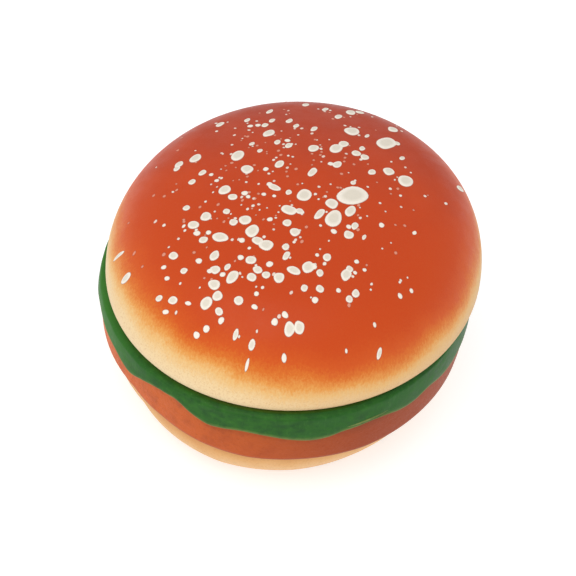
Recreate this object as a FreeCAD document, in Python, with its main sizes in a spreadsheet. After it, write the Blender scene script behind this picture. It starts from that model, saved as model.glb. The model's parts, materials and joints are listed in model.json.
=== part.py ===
"""A corded novelty telephone in the shape of a hamburger, closed.

The top bun is a lid that turns up on a hinge at the rear; the lettuce, the patty and the bottom bun are the base.
Millimetres, +Z up. The front, where the lid opens, faces -Y; the hinge and the line socket are at +Y.
Every outer layer is an oval: it is turned round and then scaled in X by plan_ratio, the lettuce's skirt by
skirt_ratio. Sizes below are measured from the middle of the oval; FRAME_SHIFT then moves every sub-part so that the
origin is under the middle of the whole.
"""
import FreeCAD, Part

import math
import os
import re

import Sketcher
from FreeCAD import Placement, Rotation, Vector

doc = FreeCAD.newDocument("hamburger_telephone")
dims = doc.addObject("Spreadsheet::Sheet", "dims")

# Driving dimensions. A "reach" is half the length of an oval layer, measured along Y.
DRIVING = {
    "plan_ratio": 0.887,
    # top bun
    "bun_reach": 66, "bun_wide_z": 42.5, "bun_top_z": 75, "bun_shoulder": 27, "bun_wall": 2.6,
    "bun_rim_radius": 5, "bun_rim_z": 38.4, "bun_rim_reach": 63.9, "bun_mouth_reach": 61.4,
    # bottom bun, patty, lettuce
    "floor_z": 1.2, "floor_wall": 2.4, "foot_corner": 16, "bottom_reach": 63.4, "bottom_top_z": 17.7,
    "patty_reach": 66, "patty_low_z": 17.8, "patty_top_z": 32.4, "patty_inner_reach": 62.4,
    "lip_inner_reach": 63.6, "lip_top_z": 35,
    "collar_reach": 65.9, "collar_inner_reach": 55, "collar_top_z": 38, "rebate_reach": 57.8,
    "skirt_reach": 67.6, "skirt_low_z": 30, "skirt_inner_reach": 66.25, "skirt_notch_z": 35.2,
    "skirt_ratio": 0.91,
    "wave_mid_z": 32.2, "wave_big": 0.9, "wave_small": 0.9,
    # hinge
    "hinge_y": 68.6, "hinge_z": 38.9, "barrel_radius": 3, "lid_barrel_half": 8.6, "base_barrel_in": 9.2,
    "base_barrel_out": 17.5, "hinge_pin_radius": 1.2, "pin_running_gap": 0.05,
    # keypad deck
    "deck_reach": 57.5, "deck_z": 34.2, "deck_wall": 2.5, "key_wide": 12, "key_deep": 9, "key_pitch_x": 16,
    "key_pitch_y": 13, "key_row_y": 14, "key_side_gap": 0.3, "key_flange": 1, "key_flange_z": 32.9,
    "key_flange_high": 1.2, "key_top_z": 39.2, "key_low_z": 31.7, "menu_key_wide": 16, "menu_key_deep": 7,
    "menu_key_x": 12, "menu_key_y": 29.5,
    # circuit board and what it carries
    "board_wide": 54, "board_front_y": -38.4, "board_back_y": 38.5, "board_z": 27.3, "board_thick": 1.6,
    "mat_wide": 42.6, "mat_thick": 0.9, "dome_radius": 4.2, "dome_top_radius": 2.8,
    # line switch that the lid works
    "hook_y": 44, "hook_radius": 3, "hook_top_z": 39, "hook_flange_z": 30, "hook_body_z": 18.5,
    "hook_body_top": 26.5,
    # earpiece
    "ear_y": -4, "ear_reach": 22, "lid_panel_z": 40.2, "lid_panel_wall": 2.5, "lid_panel_reach": 60.9,
    "ear_back_z": 44.6, "gasket_thick": 1.6, "capsule_radius": 17, "capsule_high": 9,
    # microphone
    "mike_y": -46, "mike_radius": 4.85, "mike_high": 5.2, "boot_radius": 6,
    # base fixings
    "base_screw_x": 39.5, "base_screw_y": 22, "boss_radius": 3.7, "boss_join_z": 11, "shank_radius": 1.3,
    "head_radius": 2.8, "foot_x": 25, "foot_y": 35, "foot_radius": 5, "foot_high": 2.2,
    "lid_screw_x": 38, "lid_screw_y": 26,
    # line socket
    "jack_wide": 13.2, "jack_high": 11, "jack_z": 5.8, "jack_mouth_y": 58, "jack_deep": 14,
    # things on the floor
    "switch_x": 32, "sounder_y": 16, "sounder_radius": 15, "sounder_high": 7, "ballast_y": -21,
    "lead_radius": 1.1,
}
for row, (alias, value) in enumerate(DRIVING.items(), start=1):
    dims.set(f"A{row}", alias.replace("_", " "))
    dims.set(f"B{row}", str(value))
    dims.setAlias(f"B{row}", alias)
doc.recompute()

EAR_RING_HOLES = {0: 1, 5.5: 6, 11: 12}      # ring radius: number of sound holes
SOUNDER_RING_HOLES = {0: 1, 4.5: 6, 9: 10}
WAVE_LOBES, WAVE_SLOW_LOBES = 13, 5          # lobes round the lettuce's lower edge
CORNERS = [(1, 1), (-1, 1), (-1, -1), (1, -1)]
FRAME_SHIFT = "(hinge_y + barrel_radius - skirt_reach) / 2"
spots = {}        # where place() has put each object
exports = []


def sheet(text):
    """An expression in the sheet's aliases, spelled as FreeCAD wants it."""
    return re.sub(r"(?<![\w.])(" + "|".join(DRIVING) + r")(?!\w)", r"dims.\1", str(text))


def number(text):
    """The value of such an expression now."""
    return float(dims.evalExpression(sheet(text)))


def bind(obj, **expressions):
    for name, text in expressions.items():
        obj.setExpression(name, sheet(text))
    return obj


def place(obj, x=0, y=0, z=0):
    spots[obj.Name] = (x, y, z)
    for axis, text in (("x", x), ("y", y), ("z", z)):
        obj.setExpression(".Placement.Base." + axis, sheet(text))
    return obj


def box(name, x, y, z, wide, deep, high):
    """A block centred on x, y that stands on z."""
    block = bind(doc.addObject("Part::Box", name), Length=wide, Width=deep, Height=high)
    return place(block, f"({x}) - ({wide}) / 2", f"({y}) - ({deep}) / 2", z)


def cylinder(name, x, y, z, radius, high):
    return place(bind(doc.addObject("Part::Cylinder", name), Radius=radius, Height=high), x, y, z)


def barrel(name, x, radius, long):
    """A cylinder on the hinge axis, from x towards +X."""
    rod = bind(doc.addObject("Part::Cylinder", name), Radius=radius, Height=long)
    rod.Placement = Placement(Vector(), Rotation(Vector(0, 1, 0), 90))
    return place(rod, x, "hinge_y", "hinge_z")


def cut(name, base, *tools):
    result = doc.addObject("Part::Cut", name)
    result.Base = base
    result.Tool = tools[0] if len(tools) == 1 else fuse(name + "_tools", *tools)
    return result


def fuse(name, *shapes):
    result = doc.addObject("Part::MultiFuse", name)
    result.Shapes = list(shapes)
    return result


def common(name, *shapes):
    result = doc.addObject("Part::MultiCommon", name)
    result.Shapes = list(shapes)
    return result


def group(name, *solids):
    """Separate solids that share a node."""
    result = doc.addObject("Part::Compound", name)
    result.Links = list(solids)
    return result


def oval(name, round_one, z=0, ratio="plan_ratio"):
    """A round object made oval, narrower in X by ratio, and lifted to z."""
    scaled = doc.addObject("Part::Scale", name)
    scaled.Base = round_one
    scaled.Uniform = False
    return place(bind(scaled, XScale=ratio), 0, 0, z)


def export(node, obj):
    """Names a sub-part and moves it into the telephone's own frame."""
    obj.Label = node
    x, y, z = spots.get(obj.Name, (0, 0, 0))
    exports.append(place(obj, x, f"({y}) - {FRAME_SHIFT}", z))
    return obj


def pin_point(sketch, name, geo, end, x, y):
    """Fixes a sketch point at x, y, as expressions."""
    for axis, line, kind, text in (("x", -2, "DistanceX", x), ("y", -1, "DistanceY", y)):
        if str(text) == "0":
            sketch.addConstraint(Sketcher.Constraint("PointOnObject", geo, end, line))
            continue
        index = sketch.addConstraint(Sketcher.Constraint(kind, -1, 1, geo, end, number(text)))
        sketch.renameConstraint(index, f"{name}_{axis}")
        sketch.setExpression(f"Constraints.{name}_{axis}", sheet(text))


def outline(sketch, corners):
    """A closed outline through corners (x, y) or (x, y, radius): the radius is that of the arc which arrives there,
    positive to turn left and negative to turn right."""
    points = [Vector(number(c[0]), number(c[1])) for c in corners]
    for i, corner in enumerate(corners):
        start, end = points[i - 1], points[i]
        if len(corner) == 2:
            sketch.addGeometry(Part.LineSegment(start, end))
            pin_point(sketch, f"p{i}", i, 2, corner[0], corner[1])
            continue
        radius = number(corner[2])
        chord = end - start
        height = math.sqrt(max(radius ** 2 - (chord.Length / 2) ** 2, 0)) * math.copysign(1, radius)
        centre = (start + end) / 2 + Vector(-chord.y, chord.x).normalize() * height
        first, last = (start, end) if radius > 0 else (end, start)
        angles = [math.atan2(p.y - centre.y, p.x - centre.x) for p in (first, last)]
        circle = Part.Circle(centre, Vector(0, 0, 1), abs(radius))
        sketch.addGeometry(Part.ArcOfCircle(circle, *angles))
        pin_point(sketch, f"p{i}", i, 2 if radius > 0 else 1, corner[0], corner[1])
        index = sketch.addConstraint(Sketcher.Constraint("Radius", i, abs(radius)))
        sketch.renameConstraint(index, f"r{i}")
        sketch.setExpression(f"Constraints.r{i}", sheet(f"abs({corner[2]})"))
    for i, corner in enumerate(corners):
        before = corners[i - 1]
        arrives = 1 if len(before) == 3 and number(before[2]) < 0 else 2
        leaves = 2 if len(corner) == 3 and number(corner[2]) < 0 else 1
        last = (i - 1) % len(corners)
        sketch.addConstraint(Sketcher.Constraint("Coincident", last, arrives, i, leaves))


def new_body(name):
    return doc.addObject("PartDesign::Body", name)


def sketch_on(body, name, role, offset=None):
    drawing = body.newObject("Sketcher::SketchObject", name)
    plane = next(f for f in body.Origin.OriginFeatures if f.Role == role)
    drawing.AttachmentSupport = (plane, [""])
    drawing.MapMode = "FlatFace"
    if offset is not None:
        drawing.setExpression(".AttachmentOffset.Base.z", sheet(offset))
    return drawing


def turned(name, corners):
    """A body turned about Z from corners of (radius, z)."""
    body = new_body(name)
    profile = sketch_on(body, name + "_profile", "XZ_Plane")
    outline(profile, corners)
    turn = body.newObject("PartDesign::Revolution", name + "_turn")
    turn.Profile = profile
    turn.ReferenceAxis = (profile, ["V_Axis"])
    turn.Angle = 360
    body.Tip = turn
    return body


def rectangle(drawing, wide, deep):
    """A rectangle centred on the sketch's origin."""
    half_x, half_y = f"({wide}) / 2", f"({deep}) / 2"
    outline(drawing, [(half_x, f"-{half_y}"), (half_x, half_y), (f"-{half_x}", half_y), (f"-{half_x}", f"-{half_y}")])


def screw(name, x, y, seat_z, shank_long, upward):
    """A pan-head screw whose head sits on seat_z and whose shank runs up or down from there."""
    head_high, slot_wide, slot_deep = 2, 0.9, 1.1
    side = 1 if upward else -1
    head_z = f"({seat_z}) - {head_high}" if upward else seat_z
    shank_z = seat_z if upward else f"({seat_z}) - {shank_long}"
    slot_z = f"({seat_z}) - {side * head_high + (0 if upward else slot_deep)}"
    head = cylinder(name + "_head", x, y, head_z, "head_radius", head_high)
    shank = cylinder(name + "_shank", x, y, shank_z, "shank_radius", shank_long)
    slot_long = "head_radius * 1.3"
    across = box(name + "_slot", x, y, slot_z, slot_long, slot_wide, slot_deep)
    along = box(name + "_slot_b", x, y, slot_z, slot_wide, slot_long, slot_deep)
    return cut(name, fuse(name + "_blank", head, shank), across, along)


def ring_holes(name, x, y, z, rings, radius, high):
    """Round holes on rings about x, y."""
    holes = []
    for ring, count in rings.items():
        for i in range(count):
            angle = 2 * math.pi * i / count
            dx, dy = ring * math.cos(angle), ring * math.sin(angle)
            holes.append(cylinder(f"{name}_{ring:g}_{i}".replace(".", "_"), f"({x}) + {dx:.4f}",
                                  f"({y}) + {dy:.4f}", z, radius, high))
    return holes


def rounded_path(points):
    """A wire of straight runs joined by tangent arcs, each as large as its two runs allow."""
    points = [Vector(*p) for p in points]
    edges, here = [], points[0]
    for before, corner, after in zip(points, points[1:], points[2:]):
        back, on = before - corner, after - corner
        run = min(back.Length, on.Length)
        reach = 0.45 * run
        back.normalize()
        on.normalize()
        start, end = corner + back * reach, corner + on * reach
        half = back.getAngle(on) / 2
        radius = reach * math.tan(half)
        middle = corner + (back + on).normalize() * (radius / math.sin(half) - radius)
        edges += [Part.LineSegment(here, start).toShape(), Part.Arc(start, middle, end).toShape()]
        here = end
    return Part.Wire(edges + [Part.LineSegment(here, points[-1]).toShape()])


def lead(node, points):
    """A wire in its sleeve, swept along points, which are plain numbers. No PartDesign pipe holds an arc-and-line path
    in space."""
    path = rounded_path(points)
    start, on = Vector(*points[0]), Vector(*points[1]) - Vector(*points[0])
    section = Part.Wire(Part.Circle(start, on, number("lead_radius")).toShape())
    tube = doc.addObject("Part::Feature", node)
    tube.Shape = path.makePipeShell([section], True, True)
    plain = math.pi * number("lead_radius") ** 2 * path.Length
    print(f"{node}: {path.Length:.1f} mm long, volume {tube.Shape.Volume:.1f}, section times length {plain:.1f}")
    return export(node, tube)


# Derived sizes that several parts share, as expressions.
BUN_RISE = "(bun_top_z - bun_wide_z)"
CROWN = f"((bun_reach * bun_reach + {BUN_RISE} ^ 2 - 2 * bun_reach * bun_shoulder) / (2 * ({BUN_RISE} - bun_shoulder)))"
SHOULDER_R = "(bun_reach - bun_shoulder)"
CROWN_Z = f"(bun_top_z - {CROWN})"
DECK_TOP = "(deck_z + deck_wall)"
BOARD_TOP = "(board_z + board_thick)"
PANEL_TOP = "(lid_panel_z + lid_panel_wall)"
CAPSULE_Z = "(ear_back_z + gasket_thick)"
CAPSULE_TOP = f"({CAPSULE_Z} + capsule_high)"
FLOOR_TOP = "(floor_z + floor_wall)"


def shoulder_meets_crown(inset):
    """Where the two tangent arcs of the bun meet, on the surface inset from the outside."""
    share = f"(({CROWN} - {inset}) / ({CROWN} - bun_shoulder))"
    return f"{SHOULDER_R} * {share}", f"{CROWN_Z} + (bun_wide_z - {CROWN_Z}) * {share}"


def bun_shell():
    """The dome: crown arc, shoulder arc and a small rolled rim, with a concentric inside."""
    ledge_z = "(bun_wide_z + 1.1)"
    inner = "(bun_shoulder - bun_wall)"
    ledge_r = f"{SHOULDER_R} + sqrt({inner} ^ 2 - 1.1 ^ 2)"
    out_r, out_z = shoulder_meets_crown("0")
    in_r, in_z = shoulder_meets_crown("bun_wall")
    return turned("bun_shell_round", [
        ("0", "bun_top_z - bun_wall", f"{CROWN} - bun_wall"),
        ("0", "bun_top_z"),
        (out_r, out_z, f"-{CROWN}"),
        ("bun_reach", "bun_wide_z", "-bun_shoulder"),
        ("bun_rim_reach", "bun_rim_z", "-bun_rim_radius"),
        ("bun_mouth_reach", "bun_rim_z"),
        ("bun_mouth_reach", f"{ledge_z} - 0.6"),
        (ledge_r, ledge_z),
        (in_r, in_z, inner),
    ])


def bun_core():
    """A solid dome that ends inside the shell's wall; it trims the lid's screw bosses."""
    half_wall = "bun_wall / 2"
    mid_r, mid_z = shoulder_meets_crown(half_wall)
    return turned("bun_core_round", [
        ("0", "bun_wide_z"),
        (f"bun_reach - {half_wall}", "bun_wide_z"),
        (mid_r, mid_z, f"bun_shoulder - {half_wall}"),
        ("0", f"bun_top_z - {half_wall}", f"{CROWN} - {half_wall}"),
    ])


def top_bun_shell():
    shell = oval("bun_shell_oval", bun_shell())
    posts, holes = [], []
    for i, (sx, sy) in enumerate(CORNERS):
        x, y = f"{sx} * lid_screw_x", f"{sy} * lid_screw_y"
        posts.append(cylinder(f"lid_boss_{i}", x, y, f"{PANEL_TOP} + 0.1", "boss_radius", 24))
        holes.append(cylinder(f"lid_boss_hole_{i}", x, y, PANEL_TOP, "shank_radius + 0.03", 9))
    bosses = common("lid_bosses", fuse("lid_posts", *posts), oval("bun_core_oval", bun_core()))
    arm_deep = 5.4
    arm = box("lid_arm", 0, f"hinge_y - {arm_deep / 2}", "hinge_z + 0.5", "2 * lid_barrel_half", arm_deep, 3)
    knuckle = barrel("lid_barrel", "-lid_barrel_half", "barrel_radius", "2 * lid_barrel_half")
    bore = barrel("lid_bore", "-lid_barrel_half - 1", "hinge_pin_radius + pin_running_gap",
                  "2 * lid_barrel_half + 2")
    body = fuse("top_bun_body", shell, bosses, arm, knuckle)
    return export("top_bun_shell", cut("top_bun_shell", body, bore, *holes))


def lid_panel():
    disc = cylinder("lid_plate_round", 0, 0, 0, "lid_panel_reach", "lid_panel_wall")
    plate = oval("lid_plate", disc, "lid_panel_z")
    nub_high = "(lid_panel_z - hook_top_z - 0.05)"
    nub = cylinder("hook_nub", 0, "hook_y", f"lid_panel_z - {nub_high}", "hook_radius - 0.4", f"{nub_high} + 0.5")
    posts = [cylinder(f"capsule_post_{s}", f"{s} * 28", "ear_y", f"{PANEL_TOP} - 0.5", 3.2,
                      f"{CAPSULE_TOP} - {PANEL_TOP} + 0.5") for s in (-1, 1)]
    post_holes = [cylinder(f"capsule_post_hole_{s}", f"{s} * 28", "ear_y", f"{CAPSULE_TOP} - 8",
                           "shank_radius + 0.03", 9) for s in (-1, 1)]
    ear_hole = cylinder("ear_hole", 0, "ear_y", "lid_panel_z - 1", "ear_reach + 0.05", "lid_panel_wall + 2")
    lead_hole = cylinder("lid_lead_hole", 14, 50, "lid_panel_z - 1", "lead_radius + 0.3", "lid_panel_wall + 2")
    screw_holes, sinks = [], []
    for i, (sx, sy) in enumerate(CORNERS):
        x, y = f"{sx} * lid_screw_x", f"{sy} * lid_screw_y"
        screw_holes.append(cylinder(f"lid_panel_hole_{i}", x, y, "lid_panel_z - 1", "shank_radius + 0.2", 5))
        sinks.append(cylinder(f"lid_panel_sink_{i}", x, y, "lid_panel_z - 1", "head_radius + 0.2", 2.6))
    body = fuse("lid_panel_body", plate, nub, *posts)
    return export("lid_panel", cut("lid_panel", body, ear_hole, lead_hole, *screw_holes, *sinks, *post_holes))


def lid_panel_screws():
    return export("lid_panel_screws", group("lid_panel_screws", *[
        screw(f"lid_screw_{i}", f"{sx} * lid_screw_x", f"{sy} * lid_screw_y", "lid_panel_z + 1.6", 7.5, True)
        for i, (sx, sy) in enumerate(CORNERS)]))


def earpiece():
    """The dished cap with its sound holes, the ring gasket, the receiver capsule and the bar that holds it."""
    cap = place(turned("ear_cap_turned", [
        ("0", "ear_back_z"), ("0", "lid_panel_z + 2.8"),
        ("ear_reach - 3", "lid_panel_z", "-66"),
        ("ear_reach", "lid_panel_z"), ("ear_reach", PANEL_TOP), ("ear_reach + 2", PANEL_TOP),
        ("ear_reach + 2", f"{PANEL_TOP} + 1.3"), ("ear_reach - 2", f"{PANEL_TOP} + 1.3"),
        ("ear_reach - 2", "ear_back_z"),
    ]), 0, "ear_y", 0)
    holes = ring_holes("ear_hole", 0, "ear_y", "lid_panel_z", EAR_RING_HOLES, 0.95, 6)
    export("earpiece_cap", cut("earpiece_cap", cap, *holes))
    gasket = cylinder("gasket_disc", 0, "ear_y", "ear_back_z", "capsule_radius", "gasket_thick")
    inside = cylinder("gasket_inside", 0, "ear_y", "ear_back_z - 1", "capsule_radius - 4", "gasket_thick + 2")
    export("receiver_gasket", cut("receiver_gasket", gasket, inside))
    capsule = place(turned("capsule_turned", [
        ("0", CAPSULE_Z), ("capsule_radius", CAPSULE_Z), ("capsule_radius", f"{CAPSULE_Z} + 4"),
        ("capsule_radius - 1.5", f"{CAPSULE_Z} + 5"), ("capsule_radius - 1.5", f"{CAPSULE_TOP} - 1"),
        ("capsule_radius - 2.5", CAPSULE_TOP), ("0", CAPSULE_TOP),
    ]), 0, "ear_y", 0)
    export("receiver_capsule", capsule)
    bar = box("clamp_bar", 0, "ear_y", CAPSULE_TOP, 63, 8, 2)
    bar_holes = [cylinder(f"clamp_hole_{s}", f"{s} * 28", "ear_y", f"{CAPSULE_TOP} - 1", "shank_radius + 0.2", 4)
                 for s in (-1, 1)]
    export("receiver_clamp", cut("receiver_clamp", bar, *bar_holes))
    export("receiver_clamp_screws", group("receiver_clamp_screws", *[
        screw(f"clamp_screw_{s + 1}", f"{s} * 28", "ear_y", f"{CAPSULE_TOP} + 2", 8.5, False) for s in (-1, 1)]))


def hinge_pin():
    return export("hinge_pin", barrel("hinge_pin", "-base_barrel_out + 0.8", "hinge_pin_radius",
                                      "2 * base_barrel_out - 1.6"))


def lettuce_collar():
    """The structural ring of the lettuce layer: deck ledge, rim and the two fixed hinge barrels."""
    ring = oval("collar_ring", turned("collar_round", [
        ("collar_inner_reach", "patty_top_z"), ("lip_inner_reach - 0.1", "patty_top_z"),
        ("lip_inner_reach - 0.1", "lip_top_z + 0.1"), ("collar_reach", "lip_top_z + 0.1"),
        ("collar_reach", "collar_top_z"), ("rebate_reach", "collar_top_z"), ("rebate_reach", "deck_z"),
        ("collar_inner_reach", "deck_z"),
    ]))
    wide = "(base_barrel_out - base_barrel_in)"
    parts, bores = [ring], []
    for s in (-1, 1):
        start = "base_barrel_in" if s > 0 else "-base_barrel_out"
        middle = f"{s} * (base_barrel_in + base_barrel_out) / 2"
        arm_deep = "(hinge_y - 60)"
        parts.append(box(f"base_arm_{s + 1}", middle, f"hinge_y - {arm_deep} / 2", "skirt_notch_z + 0.2", wide,
                         arm_deep, "collar_top_z - skirt_notch_z - 0.2"))
        parts.append(barrel(f"base_barrel_{s + 1}", start, "barrel_radius", wide))
        bores.append(barrel(f"base_bore_{s + 1}", f"{start} - 1", "hinge_pin_radius + 0.02", f"{wide} + 2"))
    lid_gap = barrel("lid_barrel_gap", "-base_barrel_in + 0.1", "barrel_radius + 0.5", "2 * base_barrel_in - 0.2")
    return export("lettuce_collar", cut("lettuce_collar", fuse("collar_body", *parts), lid_gap, *bores))


def wave_height(angle):
    """Height of the lettuce's wavy lower edge at an angle round the oval."""
    return (number("wave_mid_z") + number("wave_big") * math.sin(WAVE_LOBES * angle)
            + number("wave_small") * math.sin(WAVE_SLOW_LOBES * angle + 1))


def wave_cutter():
    """What the wavy edge takes off the skirt. The edge is a closed spline, which no sketch or primitive holds."""
    steps = 8 * WAVE_LOBES
    rims = []
    for reach in (number("skirt_inner_reach") - 2, number("skirt_reach") + 3):
        angles = [2 * math.pi * i / steps for i in range(steps)]
        points = [Vector(reach * number("plan_ratio") * math.cos(a), reach * math.sin(a), wave_height(a))
                  for a in angles]
        curve = Part.BSplineCurve()
        curve.interpolate(points, PeriodicFlag=True)
        rims.append(curve.toShape())
    tool = doc.addObject("Part::Feature", "wave_cutter")
    tool.Shape = Part.makeRuledSurface(*rims).extrude(Vector(0, 0, -8))
    return tool


def lettuce_skirt():
    """The wavy leaf edge that hangs over the patty, a separate ring round the collar that flares out at the sides."""
    ring = oval("skirt_ring", turned("skirt_round", [
        ("skirt_inner_reach", "skirt_low_z"), ("skirt_reach", "skirt_low_z"),
        ("skirt_reach", "collar_top_z - 2"), ("skirt_reach - 0.6", "collar_top_z"),
        ("collar_reach + 0.05", "collar_top_z"), ("collar_reach + 0.05", "lip_top_z + 0.9"),
        ("skirt_inner_reach", "lip_top_z + 0.5"),
    ]), ratio="skirt_ratio")
    notch = box("skirt_notch", 0, "hinge_y - 4", "skirt_notch_z", "2 * base_barrel_out + 1", 16, 8)
    return export("lettuce_skirt", cut("lettuce_skirt", ring, notch, wave_cutter()))


def patty_ring():
    ring = oval("patty_oval", turned("patty_round", [
        ("patty_inner_reach - 4.6", "patty_low_z - 3"), ("patty_inner_reach - 2.3", "patty_low_z - 3"),
        ("patty_inner_reach - 2.3", "patty_low_z"), ("patty_reach - 1.9", "patty_low_z"),
        ("patty_reach", "patty_low_z + 2", "2.2"), ("patty_reach - 0.3", "lip_top_z", "80"),
        ("lip_inner_reach", "lip_top_z"), ("lip_inner_reach", "patty_top_z"), ("patty_inner_reach", "patty_top_z"),
        ("patty_inner_reach", "patty_low_z + 2"),
        ("patty_inner_reach - 4.6", "patty_low_z + 2"),
    ]))
    jack_room = box("patty_jack_room", 0, "jack_mouth_y", "patty_low_z - 4", "jack_wide + 2", 10, 3.3)
    return export("patty_ring", cut("patty_ring", ring, jack_room))


def bottom_bun_shell():
    flat = "(bottom_reach - foot_corner)"
    corner_z = "(floor_z + foot_corner)"
    rim = f"{flat} + sqrt(foot_corner ^ 2 - (bottom_top_z - {corner_z}) ^ 2)"
    inner = "(foot_corner - floor_wall)"
    inner_rim = f"{flat} + sqrt({inner} ^ 2 - (bottom_top_z - {corner_z}) ^ 2)"
    pan = oval("bottom_pan", turned("bottom_round", [
        ("0", "floor_z"), (flat, "floor_z"), (rim, "bottom_top_z", "foot_corner"),
        (inner_rim, "bottom_top_z"), (flat, FLOOR_TOP, f"-{inner}"), ("0", FLOOR_TOP),
    ]))
    adds, takes = [pan], []
    for i, (sx, sy) in enumerate(CORNERS):
        x, y = f"{sx} * base_screw_x", f"{sy} * base_screw_y"
        adds.append(cylinder(f"base_boss_{i}", x, y, FLOOR_TOP + " - 0.6", "boss_radius", f"boss_join_z - {FLOOR_TOP} + 0.6"))
        takes.append(cylinder(f"base_hole_{i}", x, y, 0, "shank_radius + 0.3", 20))
        takes.append(cylinder(f"base_sink_{i}", x, y, 0, "head_radius + 0.3", 6))
        takes.append(cylinder(f"foot_seat_{i}", f"{sx} * foot_x", f"{sy} * foot_y", 0, "foot_radius + 0.1", "foot_high"))
    fence = cylinder("sounder_fence", 0, "sounder_y", f"{FLOOR_TOP} - 0.5", "sounder_radius + 1.6", 3.5)
    fence_inside = cylinder("sounder_seat", 0, "sounder_y", FLOOR_TOP, "sounder_radius + 0.1", 5)
    adds.append(fence)
    takes.append(fence_inside)
    takes += ring_holes("sounder_hole", 0, "sounder_y", 0, SOUNDER_RING_HOLES, 0.9, 5)
    adds.append(box("jack_shelf", 0, "jack_mouth_y - 9", f"{FLOOR_TOP} - 0.5", "jack_wide + 3", 9,
                    f"jack_z - {FLOOR_TOP} + 0.5"))
    takes.append(box("jack_window", 0, "jack_mouth_y + 1.5", "jack_z", "jack_wide + 0.4", 9, "jack_high + 0.2"))
    for s in (-1, 1):
        adds.append(cylinder(f"ballast_post_{s + 1}", f"{s} * 16", "ballast_y", f"{FLOOR_TOP} - 0.5", 3.2, 5.5))
        takes.append(cylinder(f"ballast_pilot_{s + 1}", f"{s} * 16", "ballast_y", f"{FLOOR_TOP} - 0.4", "shank_radius + 0.03", 9))
        takes.append(box(f"switch_window_{s + 1}", f"{s} * switch_x", 0, 0, 4.2, 9, 5))
        takes.append(box(f"switch_dish_{s + 1}", f"{s} * switch_x", 0, 0, 8, 14, "floor_z + 0.9"))
    pan_with_bosses = fuse("bottom_body", *adds)
    return export("bottom_bun_shell", cut("bottom_bun_shell", pan_with_bosses, *takes))


def base_fixings():
    export("rubber_feet", group("rubber_feet", *[
        cylinder(f"foot_{i}", f"{sx} * foot_x", f"{sy} * foot_y", 0, "foot_radius", "foot_high")
        for i, (sx, sy) in enumerate(CORNERS)]))
    export("base_screws", group("base_screws", *[
        screw(f"base_screw_{i}", f"{sx} * base_screw_x", f"{sy} * base_screw_y", 6, 16, True)
        for i, (sx, sy) in enumerate(CORNERS)]))
    pads = []
    for i, degrees in enumerate((-50, -130)):
        dx, dy = math.cos(math.radians(degrees)), math.sin(math.radians(degrees))
        middle = "(bun_rim_reach + bun_mouth_reach) / 2"
        pads.append(cylinder(f"bumper_{i}", f"{dx:.4f} * plan_ratio * {middle}", f"{dy:.4f} * {middle}",
                             "collar_top_z", 1.1, "bun_rim_z - collar_top_z - 0.02"))
    export("lid_bumpers", group("lid_bumpers", *pads))


def key_places():
    """Node name, x, y, width and depth of every key."""
    names = [["key_1", "key_2", "key_3"], ["key_4", "key_5", "key_6"], ["key_7", "key_8", "key_9"],
             ["key_star", "key_0", "key_hash"]]
    for row, trio in enumerate(names):
        for column, name in enumerate(trio):
            yield name, f"{column - 1} * key_pitch_x", f"key_row_y - {row} * key_pitch_y", "key_wide", "key_deep"
    yield "key_redial", "-menu_key_x", "menu_key_y", "menu_key_wide", "menu_key_deep"
    yield "key_mute", "menu_key_x", "menu_key_y", "menu_key_wide", "menu_key_deep"


def key(name, x, y, wide, deep):
    """A key cap with the flange that keeps it under the deck."""
    body = new_body(name)
    foot = sketch_on(body, name + "_stem", "XY_Plane", "key_low_z")
    rectangle(foot, wide, deep)
    cap = body.newObject("PartDesign::Pad", name + "_cap")
    cap.Profile = foot
    bind(cap, Length="key_top_z - key_low_z")
    base = sketch_on(body, name + "_flange_outline", "XY_Plane", "key_flange_z")
    rectangle(base, f"{wide} + 2 * key_flange", f"{deep} + 2 * key_flange")
    flange = body.newObject("PartDesign::Pad", name + "_flange")
    flange.Profile = base
    bind(flange, Length="key_flange_high")
    body.Tip = flange
    doc.recompute()
    top = number("key_top_z")
    edges = [f"Edge{i}" for i, e in enumerate(flange.Shape.Edges, start=1)
             if e.BoundBox.ZMax > top - 0.01 and e.BoundBox.ZMax - number("key_flange_z") > 0
             and e.BoundBox.ZMin > number("key_flange_z") + number("key_flange_high") - 0.01]
    rounding = body.newObject("PartDesign::Fillet", name + "_rounding")
    rounding.Base = (flange, edges)
    rounding.Radius = 1.1
    body.Tip = rounding
    return export(name, place(body, x, y, 0))


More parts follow.
